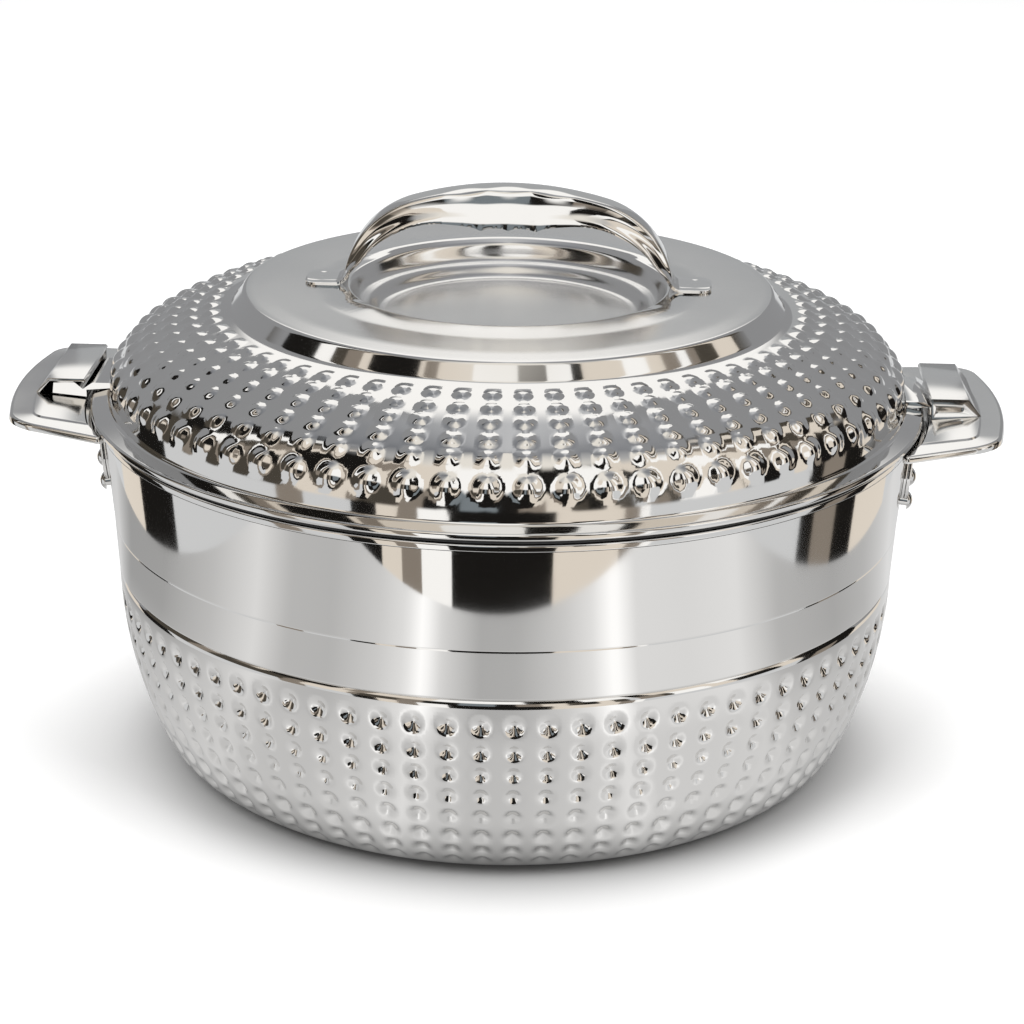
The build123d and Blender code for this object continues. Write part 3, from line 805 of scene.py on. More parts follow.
class CASSEROLE_OT_pot_foam(bpy.types.Operator):
    """Spin the foam between the pot's two sheets, clear of the punched dimples"""

    bl_idname = "casserole.pot_foam"
    bl_label = "Pot foam"

    def execute(self, context):
        clear, pitch = 0.0032, 0.006
        outline = [(0.0095, 0.0040), (0.0930, 0.0040), (0.0985, 0.0035)]
        outline += beside_arcs(BELLY_ARCS, rows_between([0.004, length_of(BELLY_ARCS) - 0.003], pitch), clear)
        outline += [(0.1385, 0.0760), (0.1400, 0.1255), (0.1292, 0.1280), (0.1289, 0.1100), (0.1277, 0.0325)]
        outline += arc((0.1078, 0.0323), 0.0199, 0, -90, 12)[1:] + [(0.0095, 0.0124)]
        piece = spin_round("pot_filling", outline, 160, True)
        smooth(piece, 40)
        finish_piece(piece, "pot", "foam", rigid_foam(), "pot_insulation")
        return {"FINISHED"}


# ---------------------------------------------------------------- lid
DOME_TOP = (0.0994, LID_BASE + 0.0356)
DOME_SHOULDER = (0.1310, LID_BASE + 0.0245)
DOME_FOOT = (0.1433, LID_BASE + 0.0031)
DOME_SAGITTA = 0.00155
# radius of each row of bumps, and its size as a share of the lowest row's
BUMP_RADII = (0.1068, 0.1142, 0.1211, 0.1284, 0.1349, 0.1407)
BUMP_SHARES = (0.70, 0.70, 0.72, 0.75, 0.82, 1.0)
LIP_INSIDE, LIP_OUTSIDE = 0.0545, 0.0735


def dome_arcs():
    """The two arcs of the dome's section, from the plateau's bevel down to the flange."""
    crown, crown_radius = chord_arc(DOME_TOP, DOME_SHOULDER, DOME_SAGITTA)
    side, side_radius = onward_arc(crown, DOME_SHOULDER, DOME_FOOT)

    def degrees(centre, point):
        return math.degrees(math.atan2(point[1] - centre[1], point[0] - centre[0]))

    turn = degrees(crown, DOME_SHOULDER)
    return [
        (tuple(crown), crown_radius, degrees(crown, DOME_TOP), turn),
        (tuple(side), side_radius, turn, degrees(side, DOME_FOOT)),
    ]


def raised(line):
    """Corners whose heights are given above the lid's base."""
    return [(radius, LID_BASE + height, *rounding) for radius, height, *rounding in line]


class CASSEROLE_OT_lid_skin(bpy.types.Operator):
    """Spin the lid's sheet, raise its bumps and press the flats for the bow's feet"""

    bl_idname = "casserole.lid_skin"
    bl_label = "Lid skin"

    def execute(self, context):
        lid = context.scene.lid_sizes
        arcs = dome_arcs()
        pitch, foot_pitch, lining_pitch = 0.00115, 0.002, 0.008
        centres = [distance_where(arcs, lambda point: point.x > radius) for radius in BUMP_RADII]
        stops = [0.0] + centres + [centres[-1] + 0.0045]
        rows = rows_between(stops, pitch)
        rows += rows_between([stops[-1], length_of(arcs) - 0.0015], foot_pitch)[1:]
        dome = beside_arcs(arcs, rows)
        recess_and_lip = [
            (0, 0.0318),
            (0.0465, 0.0318, 0.005),
            (0.0500, 0.0356, 0.006),
            (0.0540, 0.0369, 0.004),
            (0.0565, 0.0421, 0.004),
            (0.0600, 0.0441, 0.0035),
            (0.0715, 0.0426, 0.02),
            (0.0860, 0.0423, 0.06),
            (0.0945, 0.0416, 0.0018),
        ]
        bevel = (DOME_TOP[0] - 0.0003, DOME_TOP[1] + 0.0004, 0.0004)
        top = rounded(raised(recess_and_lip) + [bevel, dome[1]], 3)
        edge = [(0.1500, 0.0023, 0.0009), (0.1500, 0, 0.0007), (0.1465, 0, 0.0002), (0.1465, 0.0008)]
        flange = rounded([dome[-2], (*DOME_FOOT, 0.0010)] + raised(edge), 4, 0.0004)[1:]
        inside = raised([(0.1492, 0.0008), (0.1492, 0.0015), (0.1425, 0.0015), (0.1425, 0.0031)])
        inside += beside_arcs(arcs, rows_between([0.0] + centres, lining_pitch)[::-1], lid.sheet)
        inside += raised([(0.0940, 0.0409), (0.0860, 0.0416), (0.0600, 0.0431), (0.0573, 0.0416)])
        inside += raised([(0.0546, 0.0361), (0.0505, 0.0349), (0.0470, 0.0310), (0, 0.0310)])
        piece = start_wedge("lid_skin", top[:-1] + dome[2:-2] + flange + inside, lid.columns, False)
        for distance, grown in zip(centres, BUMP_SHARES):
            place, outward = on_arcs(arcs, distance)
            push = Vector((outward.x, 0, outward.y)) * lid.bump_height * grown
            punch(Vector((place.x, 0, place.y)), push, lid.bump_reach * grown, "INVERSE_SQUARE")
        close_mesh()
        repeat_round(piece, lid.columns, lid.first_column)
        press_feet_flats(piece)
        smooth(piece, 50)
        finish_piece(piece, "lid", "lid_steel", lid_steel(), "lid_shell")
        return {"FINISHED"}


def press_feet_flats(piece):
    """Press the lip down to the lands under the bow's feet, fading out along the lip."""
    open_mesh(piece)
    half_width, fade, bands = 0.024, 0.018, 32
    for band in range(bands):
        near = half_width + fade * (band - 1) / (bands - 1) if band else -1
        far = half_width + fade * band / (bands - 1)
        left = (band / bands) ** 2 * (3 - 2 * band / bands)
        pick(
            lambda point: near < abs(point.y) <= far
            and LIP_INSIDE < math.hypot(point.x, point.y) < LIP_OUTSIDE
            and abs(point.x) > 0.04
            and point.z > LAND_LEVEL - 0.0001
        )
        bpy.ops.transform.resize(value=(1, 1, left), center_override=(0, 0, LAND_LEVEL))
    close_mesh()


class CASSEROLE_OT_lid_liner(bpy.types.Operator):
    """Spin the liner that closes the lid from below and dips into the bowl"""

    bl_idname = "casserole.lid_liner"
    bl_label = "Lid liner"

    def execute(self, context):
        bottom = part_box("lid_liner")[0][2]
        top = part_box("lid_liner")[1][2]
        hole, side, edge, gauge = 0.0070, 0.1256, 0.1490, 0.0007
        under = [(hole, bottom), (side, bottom, 0.005), (side, top - gauge, 0.0003), (edge, top - gauge)]
        inner = side - gauge
        over = [(edge, top), (inner, top, 0.0008), (inner, bottom + gauge, 0.0043), (hole, bottom + gauge)]
        piece = spin_round("lid_lining", rounded(under, 8) + rounded(over, 8), 240, True)
        smooth(piece, 50)
        finish_piece(piece, "lid", "bowl_steel", polished_steel("polished_liner"), "lid_liner")
        return {"FINISHED"}


# ---------------------------------------------------------------- lid handle
BOW_GAUGE = 0.0012
BOW_HALF_WIDTH = 0.0095
BOW_FOOT_END = 0.0725
BOW_ENDS = 0.004
# half of the channel's section, from its free edge up to its crown: (across, height)
BOW_SKIRT = (
    (-0.0113, -0.0126),
    (-0.0111, -0.0112),
    (-0.0104, -0.0098),
    (-0.0098, -0.0089),
    (-0.0092, -0.0080),
    (-0.0079, -0.0060),
    (-0.0072, -0.0042),
    (-0.0069, -0.0022),
    (-0.0065, -0.0009),
    (-0.0060, -0.00025),
    (-0.0052, 0),
    (-0.0028, 0.0001),
)
# depth of the channel at a distance along it from either end
BOW_DEPTHS = (
    (0.0, 0.0003),
    (0.012, 0.0003),
    (0.0165, 0.0014),
    (0.0215, 0.0042),
    (0.0316, 0.0060),
    (0.0398, 0.0073),
    (0.0459, 0.0079),
    (0.0537, 0.0082),
    (0.0610, 0.0091),
    (0.0670, 0.0104),
    (0.0735, 0.0118),
    (0.0785, 0.0126),
    (0.0885, 0.0126),
    (1.0, 0.0126),
)
# small arches along the free edges, with cusps between them, and finger grips along the front flank
CUSP_REACH, CUSP_PITCH, CUSP_DROP = 0.0165, 0.011, 0.0010
CUSP_SHARES = (1.0, 0.6, 0.3, 0.12, 0.04)
GRIP_REACH, GRIP_PITCH, GRIP_DROP = 0.0237, 0.0158, 0.0005
GRIP_SHARES = (0.15, 0.6, 1.0, 0.8)
GRIP_ROWS = BOW_SKIRT[7:11]


def eased(table, distance):
    """Value between the entries of a table, on a smooth curve through them."""
    for index, ((near, low), (far, high)) in enumerate(zip(table, table[1:])):
        if distance <= far:
            before = table[max(index - 1, 0)]
            after = table[min(index + 2, len(table) - 1)]
            span = far - near
            leaving = (high - before[1]) / (far - before[0]) * span
            arriving = (after[1] - low) / (after[0] - near) * span
            share = (distance - near) / span
            square, cube = share**2, share**3
            return (
                (2 * cube - 3 * square + 1) * low
                + (cube - 2 * square + share) * leaving
                + (3 * square - 2 * cube) * high
                + (cube - square) * arriving
            )
    return table[-1][1]


def bow_line():
    """Side view of the bow: flat feet, rounded shoulders and a slack crown."""
    foot_top = LAND_LEVEL + BOW_GAUGE
    crown_radius, shoulder_radius = 0.125, 0.034
    crown = Vector((0, LAND_LEVEL + 0.0353 - crown_radius))
    turn, steep = 16, 77
    reach = crown_radius - shoulder_radius
    swing = math.radians(90 + turn)
    shoulder = crown + Vector((math.cos(swing), math.sin(swing))) * reach
    rise = arc(shoulder, shoulder_radius, 90 + steep, 90 + turn, 24)
    bend = rise[0][0] - (rise[0][1] - foot_top) / math.tan(math.radians(steep))
    half = rounded([(-BOW_FOOT_END, foot_top), (bend, foot_top, 0.0038), rise[0]], 8, 0.0001) + rise
    half += arc(crown, crown_radius, 90 + turn, 90, 14)[1:]
    return half + [(-x, z) for x, z in reversed(half[:-1])]


class CASSEROLE_OT_bow(bpy.types.Operator):
    """Press a flared channel from flat strip, with finger grips, and bend it into the lid's bow"""

    bl_idname = "casserole.bow"
    bl_label = "Lid bow"

    def execute(self, context):
        line = bow_line()
        draw_chain("bow_line", [(x, 0, z) for x, z in line])
        choose(close_mesh())
        bpy.ops.object.convert(target="CURVE")
        path = bpy.context.object
        path.data.twist_mode = "Z_UP"
        span = sum((Vector(after) - Vector(before)).length for before, after in zip(line, line[1:]))
        stations = 216
        pitch = span / stations

        section = list(BOW_SKIRT) + [(0, 0.00015)] + [(-y, z) for y, z in reversed(BOW_SKIRT)]
        piece = draw_chain("bow", [(0, y, z) for y, z in section])
        for _ in range(stations):
            pull((pitch, 0, 0))
        for station in range(stations + 1):
            self.shape_station(station * pitch, span, pitch)
        bpy.ops.mesh.select_all(action="SELECT")
        bpy.ops.mesh.normals_make_consistent(inside=False)
        upper = max(opened().faces, key=lambda face: face.calc_center_median().z)
        if upper.normal.z < 0:
            bpy.ops.mesh.flip_normals()
        close_mesh()
        thicken(piece, BOW_GAUGE)
        soften(piece, 0.0004, 3, 60)
        modify(piece, "CURVE", object=path, deform_axis="POS_X")
        bpy.data.objects.remove(path)
        tidied(piece)
        weld_marks(piece)
        smooth(piece, 45)
        finish_piece(piece, "lid", "handle_steel", polished_steel("polished_bow"), "lid_handle")
        return {"FINISHED"}

    def shape_station(self, place, span, pitch):
        """Set the depth and width of the channel at one place along it, and its finger grips."""
        inward = min(place, span - place)
        aside = abs(place - span / 2)
        flare, deep = -BOW_SKIRT[0][0], -BOW_SKIRT[0][1]
        depth = eased(BOW_DEPTHS, inward) / deep
        full = BOW_HALF_WIDTH + (flare - BOW_HALF_WIDTH) * depth
        if inward < BOW_ENDS:
            full -= BOW_ENDS - math.sqrt(BOW_ENDS**2 - (BOW_ENDS - inward) ** 2)
        pick(lambda point: abs(point.x - place) < pitch / 3)
        bpy.ops.transform.resize(value=(1, full / flare, depth), center_override=(0, 0, 0))
        if aside < CUSP_REACH:
            cusp = CUSP_DROP * (1 - abs(math.sin(math.pi * aside / CUSP_PITCH))) ** 1.5
            for (_, level), share in zip(BOW_SKIRT, CUSP_SHARES):
                self.shift_row(place, pitch, level * depth, (0, 0, -cusp * share))
        if aside < GRIP_REACH:
            grip = GRIP_DROP * abs(math.cos(math.pi * aside / GRIP_PITCH)) ** 1.3
            for (_, level), share in zip(GRIP_ROWS, GRIP_SHARES):
                self.shift_row(place, pitch, level * depth, (0, 0.7 * grip * share, -grip * share), True)

    def shift_row(self, place, pitch, level, push, front_only=False):
        """Move the points of one row of the section, at one place along the channel."""
        pick(
            lambda point: abs(point.x - place) < pitch / 3
            and abs(point.z - level) < 0.00008
            and (point.y < -0.004 or not front_only and point.y > 0.004)
        )
        bpy.ops.transform.translate(value=push)


def weld_marks(piece):
    """Press two small spot-weld marks into each foot of the bow."""
    open_mesh(piece)
    sink, reach = 0.0003, 0.0016
    for along in (-0.0668, 0.0668):
        for across in (-0.0035, 0.0040):
            wanted = Vector((along, across, LAND_LEVEL + BOW_GAUGE))
            nearest = min(opened().verts, key=lambda point: (point.co - wanted).length)
            punch(nearest.co.copy(), Vector((0, 0, -sink)), reach, "SMOOTH")
    close_mesh()


# ---------------------------------------------------------------- side handles
# slope of the plates, and the distance from the axis at which their tops are at PLATE_LEVEL
TILT = math.radians(5.5)
TILT_RADIUS = 0.149
PLATE_LEVEL = LID_BASE - 0.0008
PLATE_GAUGE = 0.0012
PLATE_SKIRT = 0.0026
PLATE_TURN = 0.0014
PLATE_HALF_WIDTH = 0.0540
# the panel that is raised on a plate, and the places that its making picks and moves
PANEL_MARGIN = 0.008
PANEL_RISE = 0.0006
PANEL_ROOT = 0.1516
PANEL_CORNER = (0.1494, 0.0431)
PANEL_MIDDLE = (0.155, 0.170)
ROOT_CORNER = (0.1404, 0.0513)
ROOT_REACH = 0.0453
NECK = 0.1475
LEG_FOOT = 0.0985
LEG_HALF_WIDTH = 0.022
# half of the angle that a leg's strip is spun through
LEG_SWING = math.asin(0.034 / 0.146)


def make_plate():
    """Sloping plate of a side handle, with its raised panel and turned-down edge."""
    flat = -0.00001
    swing = math.degrees(math.asin(PLATE_HALF_WIDTH / NECK))
    edge = [(0.1373, 0.0540, 0.002), (0.1729, 0.0460, 0.014)]
    corners = [(x, -y, rounding) for x, y, rounding in edge] + [(0.1813, 0.0, 0.177)] + edge[::-1]
    outline = rounded(corners + arc((0, 0), NECK, swing, -swing, 22)[1:-1], 10, 0)
    piece = draw_plate("plate", [(x, y, -PLATE_SKIRT) for x, y in outline])
    pull((0, 0, PLATE_SKIRT - PLATE_TURN))
    tidy_mesh()
    pick(lambda centre: centre.z > -PLATE_TURN - 0.0001, "FACE")
    steps = 5
    for step in range(steps):
        near, far = math.pi / 2 * step / steps, math.pi / 2 * (step + 1) / steps
        narrower = PLATE_TURN * (math.cos(near) - math.cos(far))
        bpy.ops.mesh.inset(thickness=narrower, depth=PLATE_TURN * (math.sin(far) - math.sin(near)))
    bpy.ops.mesh.inset(thickness=PANEL_MARGIN - PLATE_TURN, depth=0)
    for side in (-1, 1):
        gather_root_corner(side, flat)
    root = NECK + PANEL_MARGIN
    pick(
        lambda point: abs(math.hypot(point.x, point.y) - root) < 0.0006
        and abs(point.y) < ROOT_REACH
        and point.z > flat
    )
    share = PANEL_ROOT / root
    bpy.ops.transform.resize(value=(share, share, 1), center_override=(0, 0, 0))
    near, far = PANEL_MIDDLE
    pick(lambda centre: centre.z > flat and near < centre.x < far and abs(centre.y) < 0.002, "FACE")
    bpy.ops.mesh.inset(thickness=PANEL_RISE, depth=PANEL_RISE)
    pick(lambda centre: centre.z < -PLATE_SKIRT - flat, "FACE")
    bpy.ops.mesh.delete(type="ONLY_FACE")
    close_mesh()
    thicken(piece, PLATE_GAUGE)
    open_mesh(piece)
    tidy_mesh()
    bpy.ops.transform.translate(value=(0, 0, PLATE_LEVEL))
    hinge = (TILT_RADIUS, 0, PLATE_LEVEL)
    bpy.ops.transform.rotate(value=TILT, orient_axis="Y", center_override=hinge)
    if max(opened().verts, key=lambda point: point.co.x).co.z < PLATE_LEVEL:
        bpy.ops.transform.rotate(value=-2 * TILT, orient_axis="Y", center_override=hinge)
    return close_mesh()


def gather_root_corner(side, flat):
    """Merge the points that the last inset fanned out, where the plate's root meets one of its sides."""
    corner = Vector((ROOT_CORNER[0], side * ROOT_CORNER[1]))
    pick(
        lambda point: 0.0054 < (point.xy - corner).length < 0.0096
        and abs(point.xy.length - NECK - PLATE_TURN) > 0.0005
        and point.z > flat
    )
    bpy.ops.mesh.merge(type="CENTER")
    merged = next(point.co.copy() for point in opened().verts if point.select)
    bpy.ops.transform.translate(value=Vector((PANEL_CORNER[0], side * PANEL_CORNER[1], 0)) - merged)


def make_leg(inner, gauge):
    """Curved strip with a rounded lower end, spun from its section on the inner side."""
    outer = [(corner[0] + gauge, *corner[1:]) for corner in reversed(inner)]
    section = rounded(inner, 3, 0.0002) + rounded(outer, 3, 0.0002)
    draw_plate("leg", [(x, 0, z) for x, z in section])
    turn_open(-LEG_SWING)
    spin_open(36, 2 * LEG_SWING)
    tidy_mesh()
    piece = close_mesh()
    foot = (LEG_FOOT, 0.012)
    shape = [
        (LEG_HALF_WIDTH, PLATE_LEVEL),
        (LEG_HALF_WIDTH, *foot),
        (-LEG_HALF_WIDTH, *foot),
        (-LEG_HALF_WIDTH, PLATE_LEVEL),
    ]
    inside, outside = 0.12, 0.19
    return cut_with(piece, block("leg_shape", rounded(shape, 8, 0.0002), "X", inside, outside), "INTERSECT")


def make_legs():
    """Leg of a side handle, folded in under the brim, and the strip that stiffens it against the wall."""
    hook = BRIM_TOP - 0.0025
    step = hook - 0.0035
    off, on = 0.0013, 0.0001
    leg = [
        (NECK, PLATE_LEVEL - 0.0004),
        (NECK, hook - 0.0010, 0.0008),
        (wall_radius(step) + off, step, 0.0008),
        (wall_radius(LEG_FOOT) + off, LEG_FOOT),
    ]
    strip = [(wall_radius(step) + on, step), (wall_radius(LEG_FOOT) + on, LEG_FOOT)]
    return [make_leg(leg, 0.0012), make_leg(strip, 0.0010)]


class CASSEROLE_OT_side_handles(bpy.types.Operator):
    """Press a side handle's plate, fold its leg, and mirror it for the other side"""

    bl_idname = "casserole.side_handles"
    bl_label = "Side handles"

    def execute(self, context):
        parts = [make_plate(), *make_legs()]
        for part in parts:
            soften(part, 0.00025)
        right = joined("right_handle_plate", parts)
        left = mirror(copied(right), "left_handle_plate")
        for piece, node in ((right, "right_side_handle"), (left, "left_side_handle")):
            smooth(piece, 35)
            finish_piece(piece, "pot", "handle_steel", satin_steel("brushed_handles"), node)
        return {"FINISHED"}


RIVET_HEIGHTS = (0.101, 0.110)
RIVET_ACROSS = (-0.0165, 0.0165)
RIVET_SLOPE = 0.0031 / 0.0372


class CASSEROLE_OT_rivets(bpy.types.Operator):
    """Turn one rivet and set a copy at each of its places on the two legs"""

    bl_idname = "casserole.rivets"
    bl_label = "Rivets"

    def execute(self, context):
        length, inside, crown = 0.0045, 0.00195, 0.0040
        head = arc((0, length - 0.0021), crown, 32, 90, 6)
        outline = [(0, -0.0012), (0.003, -0.0012), (0.003, 0), (0.002, 0), (0.002, length), (0.0034, length)]
        first = spin_round("rivet", outline + head[:-1] + [(0, head[-1][1])], 24, False)
        smooth(first, 40)
        made = []
        for side in (1, -1):
            for height in RIVET_HEIGHTS:
                radius = wall_radius(height)
                for across in RIVET_ACROSS:
                    angle = math.asin(across / radius)
                    outward = Vector((side * math.cos(angle), math.sin(angle), -RIVET_SLOPE)).normalized()
                    on_wall = Vector((side * radius * math.cos(angle), across, height))
                    turn = outward.to_track_quat("Z", "Y").to_matrix().to_4x4()
                    rivet = copied(first)
                    rivet.matrix_world = Matrix.Translation(on_wall - outward * inside) @ turn
                    bpy.ops.object.transform_apply(location=True, rotation=True, scale=True)
                    made.append(rivet)
        bpy.data.objects.remove(first)
        piece = joined("rivets", made)
        finish_piece(piece, "pot", "handle_steel", polished_steel("rivet_steel"), "handle_rivets")
        return {"FINISHED"}


# ---------------------------------------------------------------- twist lock
# a keeper's inner edge, crease and foot, by their distance from the axis
KEEPER_X = (0.1520, 0.1650, 0.1695)
KEEPER_RISE = 0.0072
KEEPER_GAUGE = 0.001
KEEPER_Y = (-0.015, 0.029)
TAB_Y = (-0.0125, 0.0185)
TAB_GAUGE = 0.001


def panel_level(reach):
    """Top of a side handle's raised panel at a distance from the axis."""
    return PLATE_LEVEL + (reach - TILT_RADIUS) * math.tan(TILT) + PANEL_RISE / math.cos(TILT)


def make_keeper(name, closed_front):
    """Bent cover of the lock, closed by a grooved wall at one end."""
    inner, crease, foot = KEEPER_X
    front, rear = KEEPER_Y
    top = panel_level(inner) + KEEPER_RISE
    under = top - KEEPER_GAUGE
    gap = 0.00005
    foot_level = panel_level(foot) + gap
    cover = [
        (inner - 0.0008, top - 0.0008),
        (inner, top),
        (crease, top),
        (foot, foot_level),
        (foot - 0.0012, foot_level),
        (crease - 0.0006, under),
        (inner + 0.0008, under),
        (inner, under - 0.0004),
    ]
    piece = block(name, cover, "Y", front, rear)
    root_level = panel_level(inner) + gap
    wall = [(inner, top - 0.0002), (crease, top - 0.0002), (foot, foot_level), (inner, root_level)]
    start = front if closed_front else rear - KEEPER_GAUGE
    piece = cut_with(piece, block("keeper_wall", wall, "Y", start, start + KEEPER_GAUGE), "UNION")
    face = front if closed_front else rear
    middle, level = (inner + crease) / 2, top - 0.0036
    half_length, half_height, nearly_half = 0.005, 0.0011, 0.00105
    groove = [
        (middle - half_length, level - half_height, nearly_half),
        (middle + half_length, level - half_height, nearly_half),
        (middle + half_length, level + half_height, nearly_half),
        (middle - half_length, level + half_height, nearly_half),
    ]
    depth = 0.0004
    cutter = block("groove", rounded(groove, 5, 0.00002), "Y", face - depth, face + depth)
    piece = cut_with(piece, cutter, "DIFFERENCE")
    open_mesh(piece)
    pick(lambda point: abs(point.y - face) < 0.0001 and point.z < panel_level(point.x) + 0.0004)
    bpy.ops.transform.translate(value=(0, -0.0020 if closed_front else 0.0010, 0))
    close_mesh()
    soften(piece, 0.0002)
    return piece


def make_tab(name, flared):
    """Pressed tab of the lock: pad on the flange, valley at its edge, ramp up under the keeper."""
    foot = DOME_FOOT[1]
    front, rear = TAB_Y
    keeper_under = panel_level(KEEPER_X[0]) + KEEPER_RISE - KEEPER_GAUGE
    pad, end, clear, dome = 0.1413, 0.1635, 0.1512, 0.1436

    def side_view(inset, drop):
        tab_top = keeper_under - 0.00035 - inset
        pad_top = foot + 0.00205 - inset
        shelf = foot - drop
        return [
            (pad, pad_top),
            (0.1495, pad_top),
            (0.1525, pad_top - 0.0017),
            (0.1570, tab_top),
            (end - inset - 0.0006, tab_top),
            (end - inset, tab_top - 0.0006),
            (end - inset, panel_level(end) + 0.0005 - drop),
            (clear, panel_level(clear) + 0.0005 - drop),
            (clear, shelf),
            (pad, shelf),
        ]

    piece = block(name, side_view(0, -0.0001), "Y", front, rear)
    inside = side_view(TAB_GAUGE, 2 * TAB_GAUGE)
    hollow = block("tab_hollow", inside, "Y", front + TAB_GAUGE, rear - TAB_GAUGE)
    piece = cut_with(piece, hollow, "DIFFERENCE")
    choose()
    bpy.ops.mesh.primitive_cylinder_add(vertices=360, radius=dome, depth=0.1, location=(0, 0, LID_BASE))
    piece = cut_with(piece, bpy.context.object, "DIFFERENCE")
    if flared:
        open_mesh(piece)
        low = keeper_under - 0.0022
        pick(lambda point: point.y < front + TAB_GAUGE + 0.0002 and point.x > 0.15 and point.z < low)
        bpy.ops.transform.translate(value=(0, -0.0024, 0))
        close_mesh()
    soften(piece, 0.0003)
    return piece


class CASSEROLE_OT_twist_lock(bpy.types.Operator):
    """Bend the two keepers and press the two lid tabs that slide under them"""

    bl_idname = "casserole.twist_lock"
    bl_label = "Twist lock"

    def execute(self, context):
        satin, polished = satin_steel("brushed_handles"), polished_steel("polished_tabs")
        right_cover = make_keeper("right_cover", True)
        left_cover = mirror(make_keeper("keeper_blank", False), "left_cover")
        right_tab = make_tab("right_tab", False)
        left_tab = mirror(make_tab("tab_blank", True), "left_tab")
        for piece, body, material, node in (
            (right_cover, "pot", satin, "right_keeper"),
            (left_cover, "pot", satin, "left_keeper"),
            (right_tab, "lid", polished, "right_lid_tab"),
            (left_tab, "lid", polished, "left_lid_tab"),
        ):
            smooth(piece, 30)
            finish_piece(piece, body, "handle_steel", material, node)
        return {"FINISHED"}


class CASSEROLE_OT_inner_parts(bpy.types.Operator):
    """Give the foam, the filling plugs and the rivet backings their finishes"""

    bl_idname = "casserole.inner_parts"
    bl_label = "Inner parts"

    def execute(self, context):
        dressed = {
            "lid_insulation": rigid_foam(),
            "base_fill_plug": moulded_plug(),
            "lid_fill_plug": moulded_plug(),
            "left_rivet_backing": satin_steel("backing_steel"),
            "right_rivet_backing": satin_steel("backing_steel"),
        }
        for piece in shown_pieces():
            material = dressed.get(piece.get("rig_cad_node"))
            if material:
                piece.data.materials.clear()
                piece.data.materials.append(material)
        return {"FINISHED"}


# ---------------------------------------------------------------- stage
ROOM = 4.0
TABLE = 0.311
# distances from the axis between which the table's streaks come up, the pot's shade painted on the table
# and on the floor fades, and the floor's glow comes up
STREAKS_GROW = (0.20, 0.27)
SHADE_FADES = (0.108, 0.150)
CONTACT_SHADOW_FADES = (0.100, 0.150)
GLOW_GROWS = (0.112, 0.180)

INK = (0.012, 0.011, 0.010)
UMBER = (0.075, 0.065, 0.052)
TAUPE = (0.28, 0.24, 0.20)
SLATE = (0.22, 0.25, 0.27)
DIM = (0.31, 0.315, 0.325)
GREY = (0.42, 0.43, 0.44)
PALE = (0.72, 0.73, 0.74)
CREAM = (0.86, 0.78, 0.68)
WHITE = (1.15, 1.14, 1.12)

# what stands round the room, from the back by way of the left, the front and the right: (bearing, colour)
BELOW_TABLE = (
    (-180, PALE), (-139, CREAM), (-125, INK), (-106, PALE), (-62, TAUPE), (-54, PALE), (-40, INK),
    (-33.6, CREAM), (-27.6, TAUPE), (-22, WHITE), (-13.6, INK), (14.8, CREAM), (32.8, TAUPE),
    (37.2, WHITE), (39.6, PALE), (92, INK), (98, TAUPE), (107, INK), (118, CREAM), (137, PALE),
)
EYE_LEVEL = (
    (-180, GREY), (-166, DIM), (-120, UMBER), (-96, TAUPE), (-88, UMBER), (-61, TAUPE), (-55, CREAM),
    (-42, TAUPE), (-38, UMBER), (-27, TAUPE), (-20, INK), (-10.5, SLATE), (0, INK), (5.2, TAUPE),
    (12.4, CREAM), (19.6, UMBER), (23, INK), (27.5, CREAM), (31, UMBER), (35.5, PALE), (38.8, TAUPE),
    (45.1, UMBER), (48.6, WHITE), (60, CREAM), (68, INK), (84, CREAM), (92, INK), (118, DIM), (166, GREY),
)
WINDOW_LEVEL = (
    (-180, WHITE), (-160, DIM), (-112, INK), (-97, WHITE), (-89, UMBER), (-83, TAUPE), (-77, CREAM),
    (-72, INK), (-49, CREAM), (-45, TAUPE), (-39, CREAM), (-19, WHITE), (7.5, INK), (25, WHITE), (39, INK),
    (45, CREAM), (66, WHITE), (76, CREAM), (83, TAUPE), (91, WHITE), (95, TAUPE), (99, UMBER),
    (107, CREAM), (117, UMBER), (124, DIM), (162, WHITE),
)
CEILING = (
    (-180, (0.62, 0.63, 0.65)),
    (-140, (0.30, 0.31, 0.33)),
    (-100, (0.22, 0.23, 0.25)),
    (-60, (0.46, 0.46, 0.46)),
    (-25, (0.95, 0.91, 0.84)),
    (25, (0.95, 0.91, 0.84)),
    (60, (0.50, 0.50, 0.50)),
    (100, (0.27, 0.28, 0.30)),
    (140, (0.32, 0.33, 0.35)),
    (180, (0.62, 0.63, 0.65)),
)
# how bright the table is in the same directions
TABLE_TONES = (
    (-180, 0.45), (-125, 0.70), (-112, 0.39), (-90, 0.42), (-70, 0.62), (-56, 0.86), (-47, 0.58),
    (-36, 0.56), (-25, 0.74), (-19, 0.92), (-15.2, 1.30), (-11, 0.82), (-3, 0.50), (5, 0.52),
    (15, 0.72), (21, 0.92), (26, 1.30), (31, 0.86), (43, 0.84), (56, 0.90), (68, 0.56),
    (88, 0.47), (104, 0.55), (125, 0.80), (180, 0.45),
)


def bearing_of(tree):
    """Bearing of the shaded point from the front, from 0 to 1 all the way round, and its height."""
    parts = add_node(tree, "SeparateXYZ", {"Vector": on_object(tree)}).outputs
    ahead = calculate(tree, "MULTIPLY", parts["Y"], -1.0)
    angle = calculate(tree, "ARCTAN2", parts["X"], ahead)
    return spread(tree, angle, 0.0, 1.0, -math.pi, math.pi), parts["Z"]


def bearing_ramp(tree, turn, stops, curve):
    """Colours round the room, from (bearing in degrees, colour) stops."""
    return ramp(tree, turn, [(degrees / 360 + 0.5, colour) for degrees, colour in stops], curve)


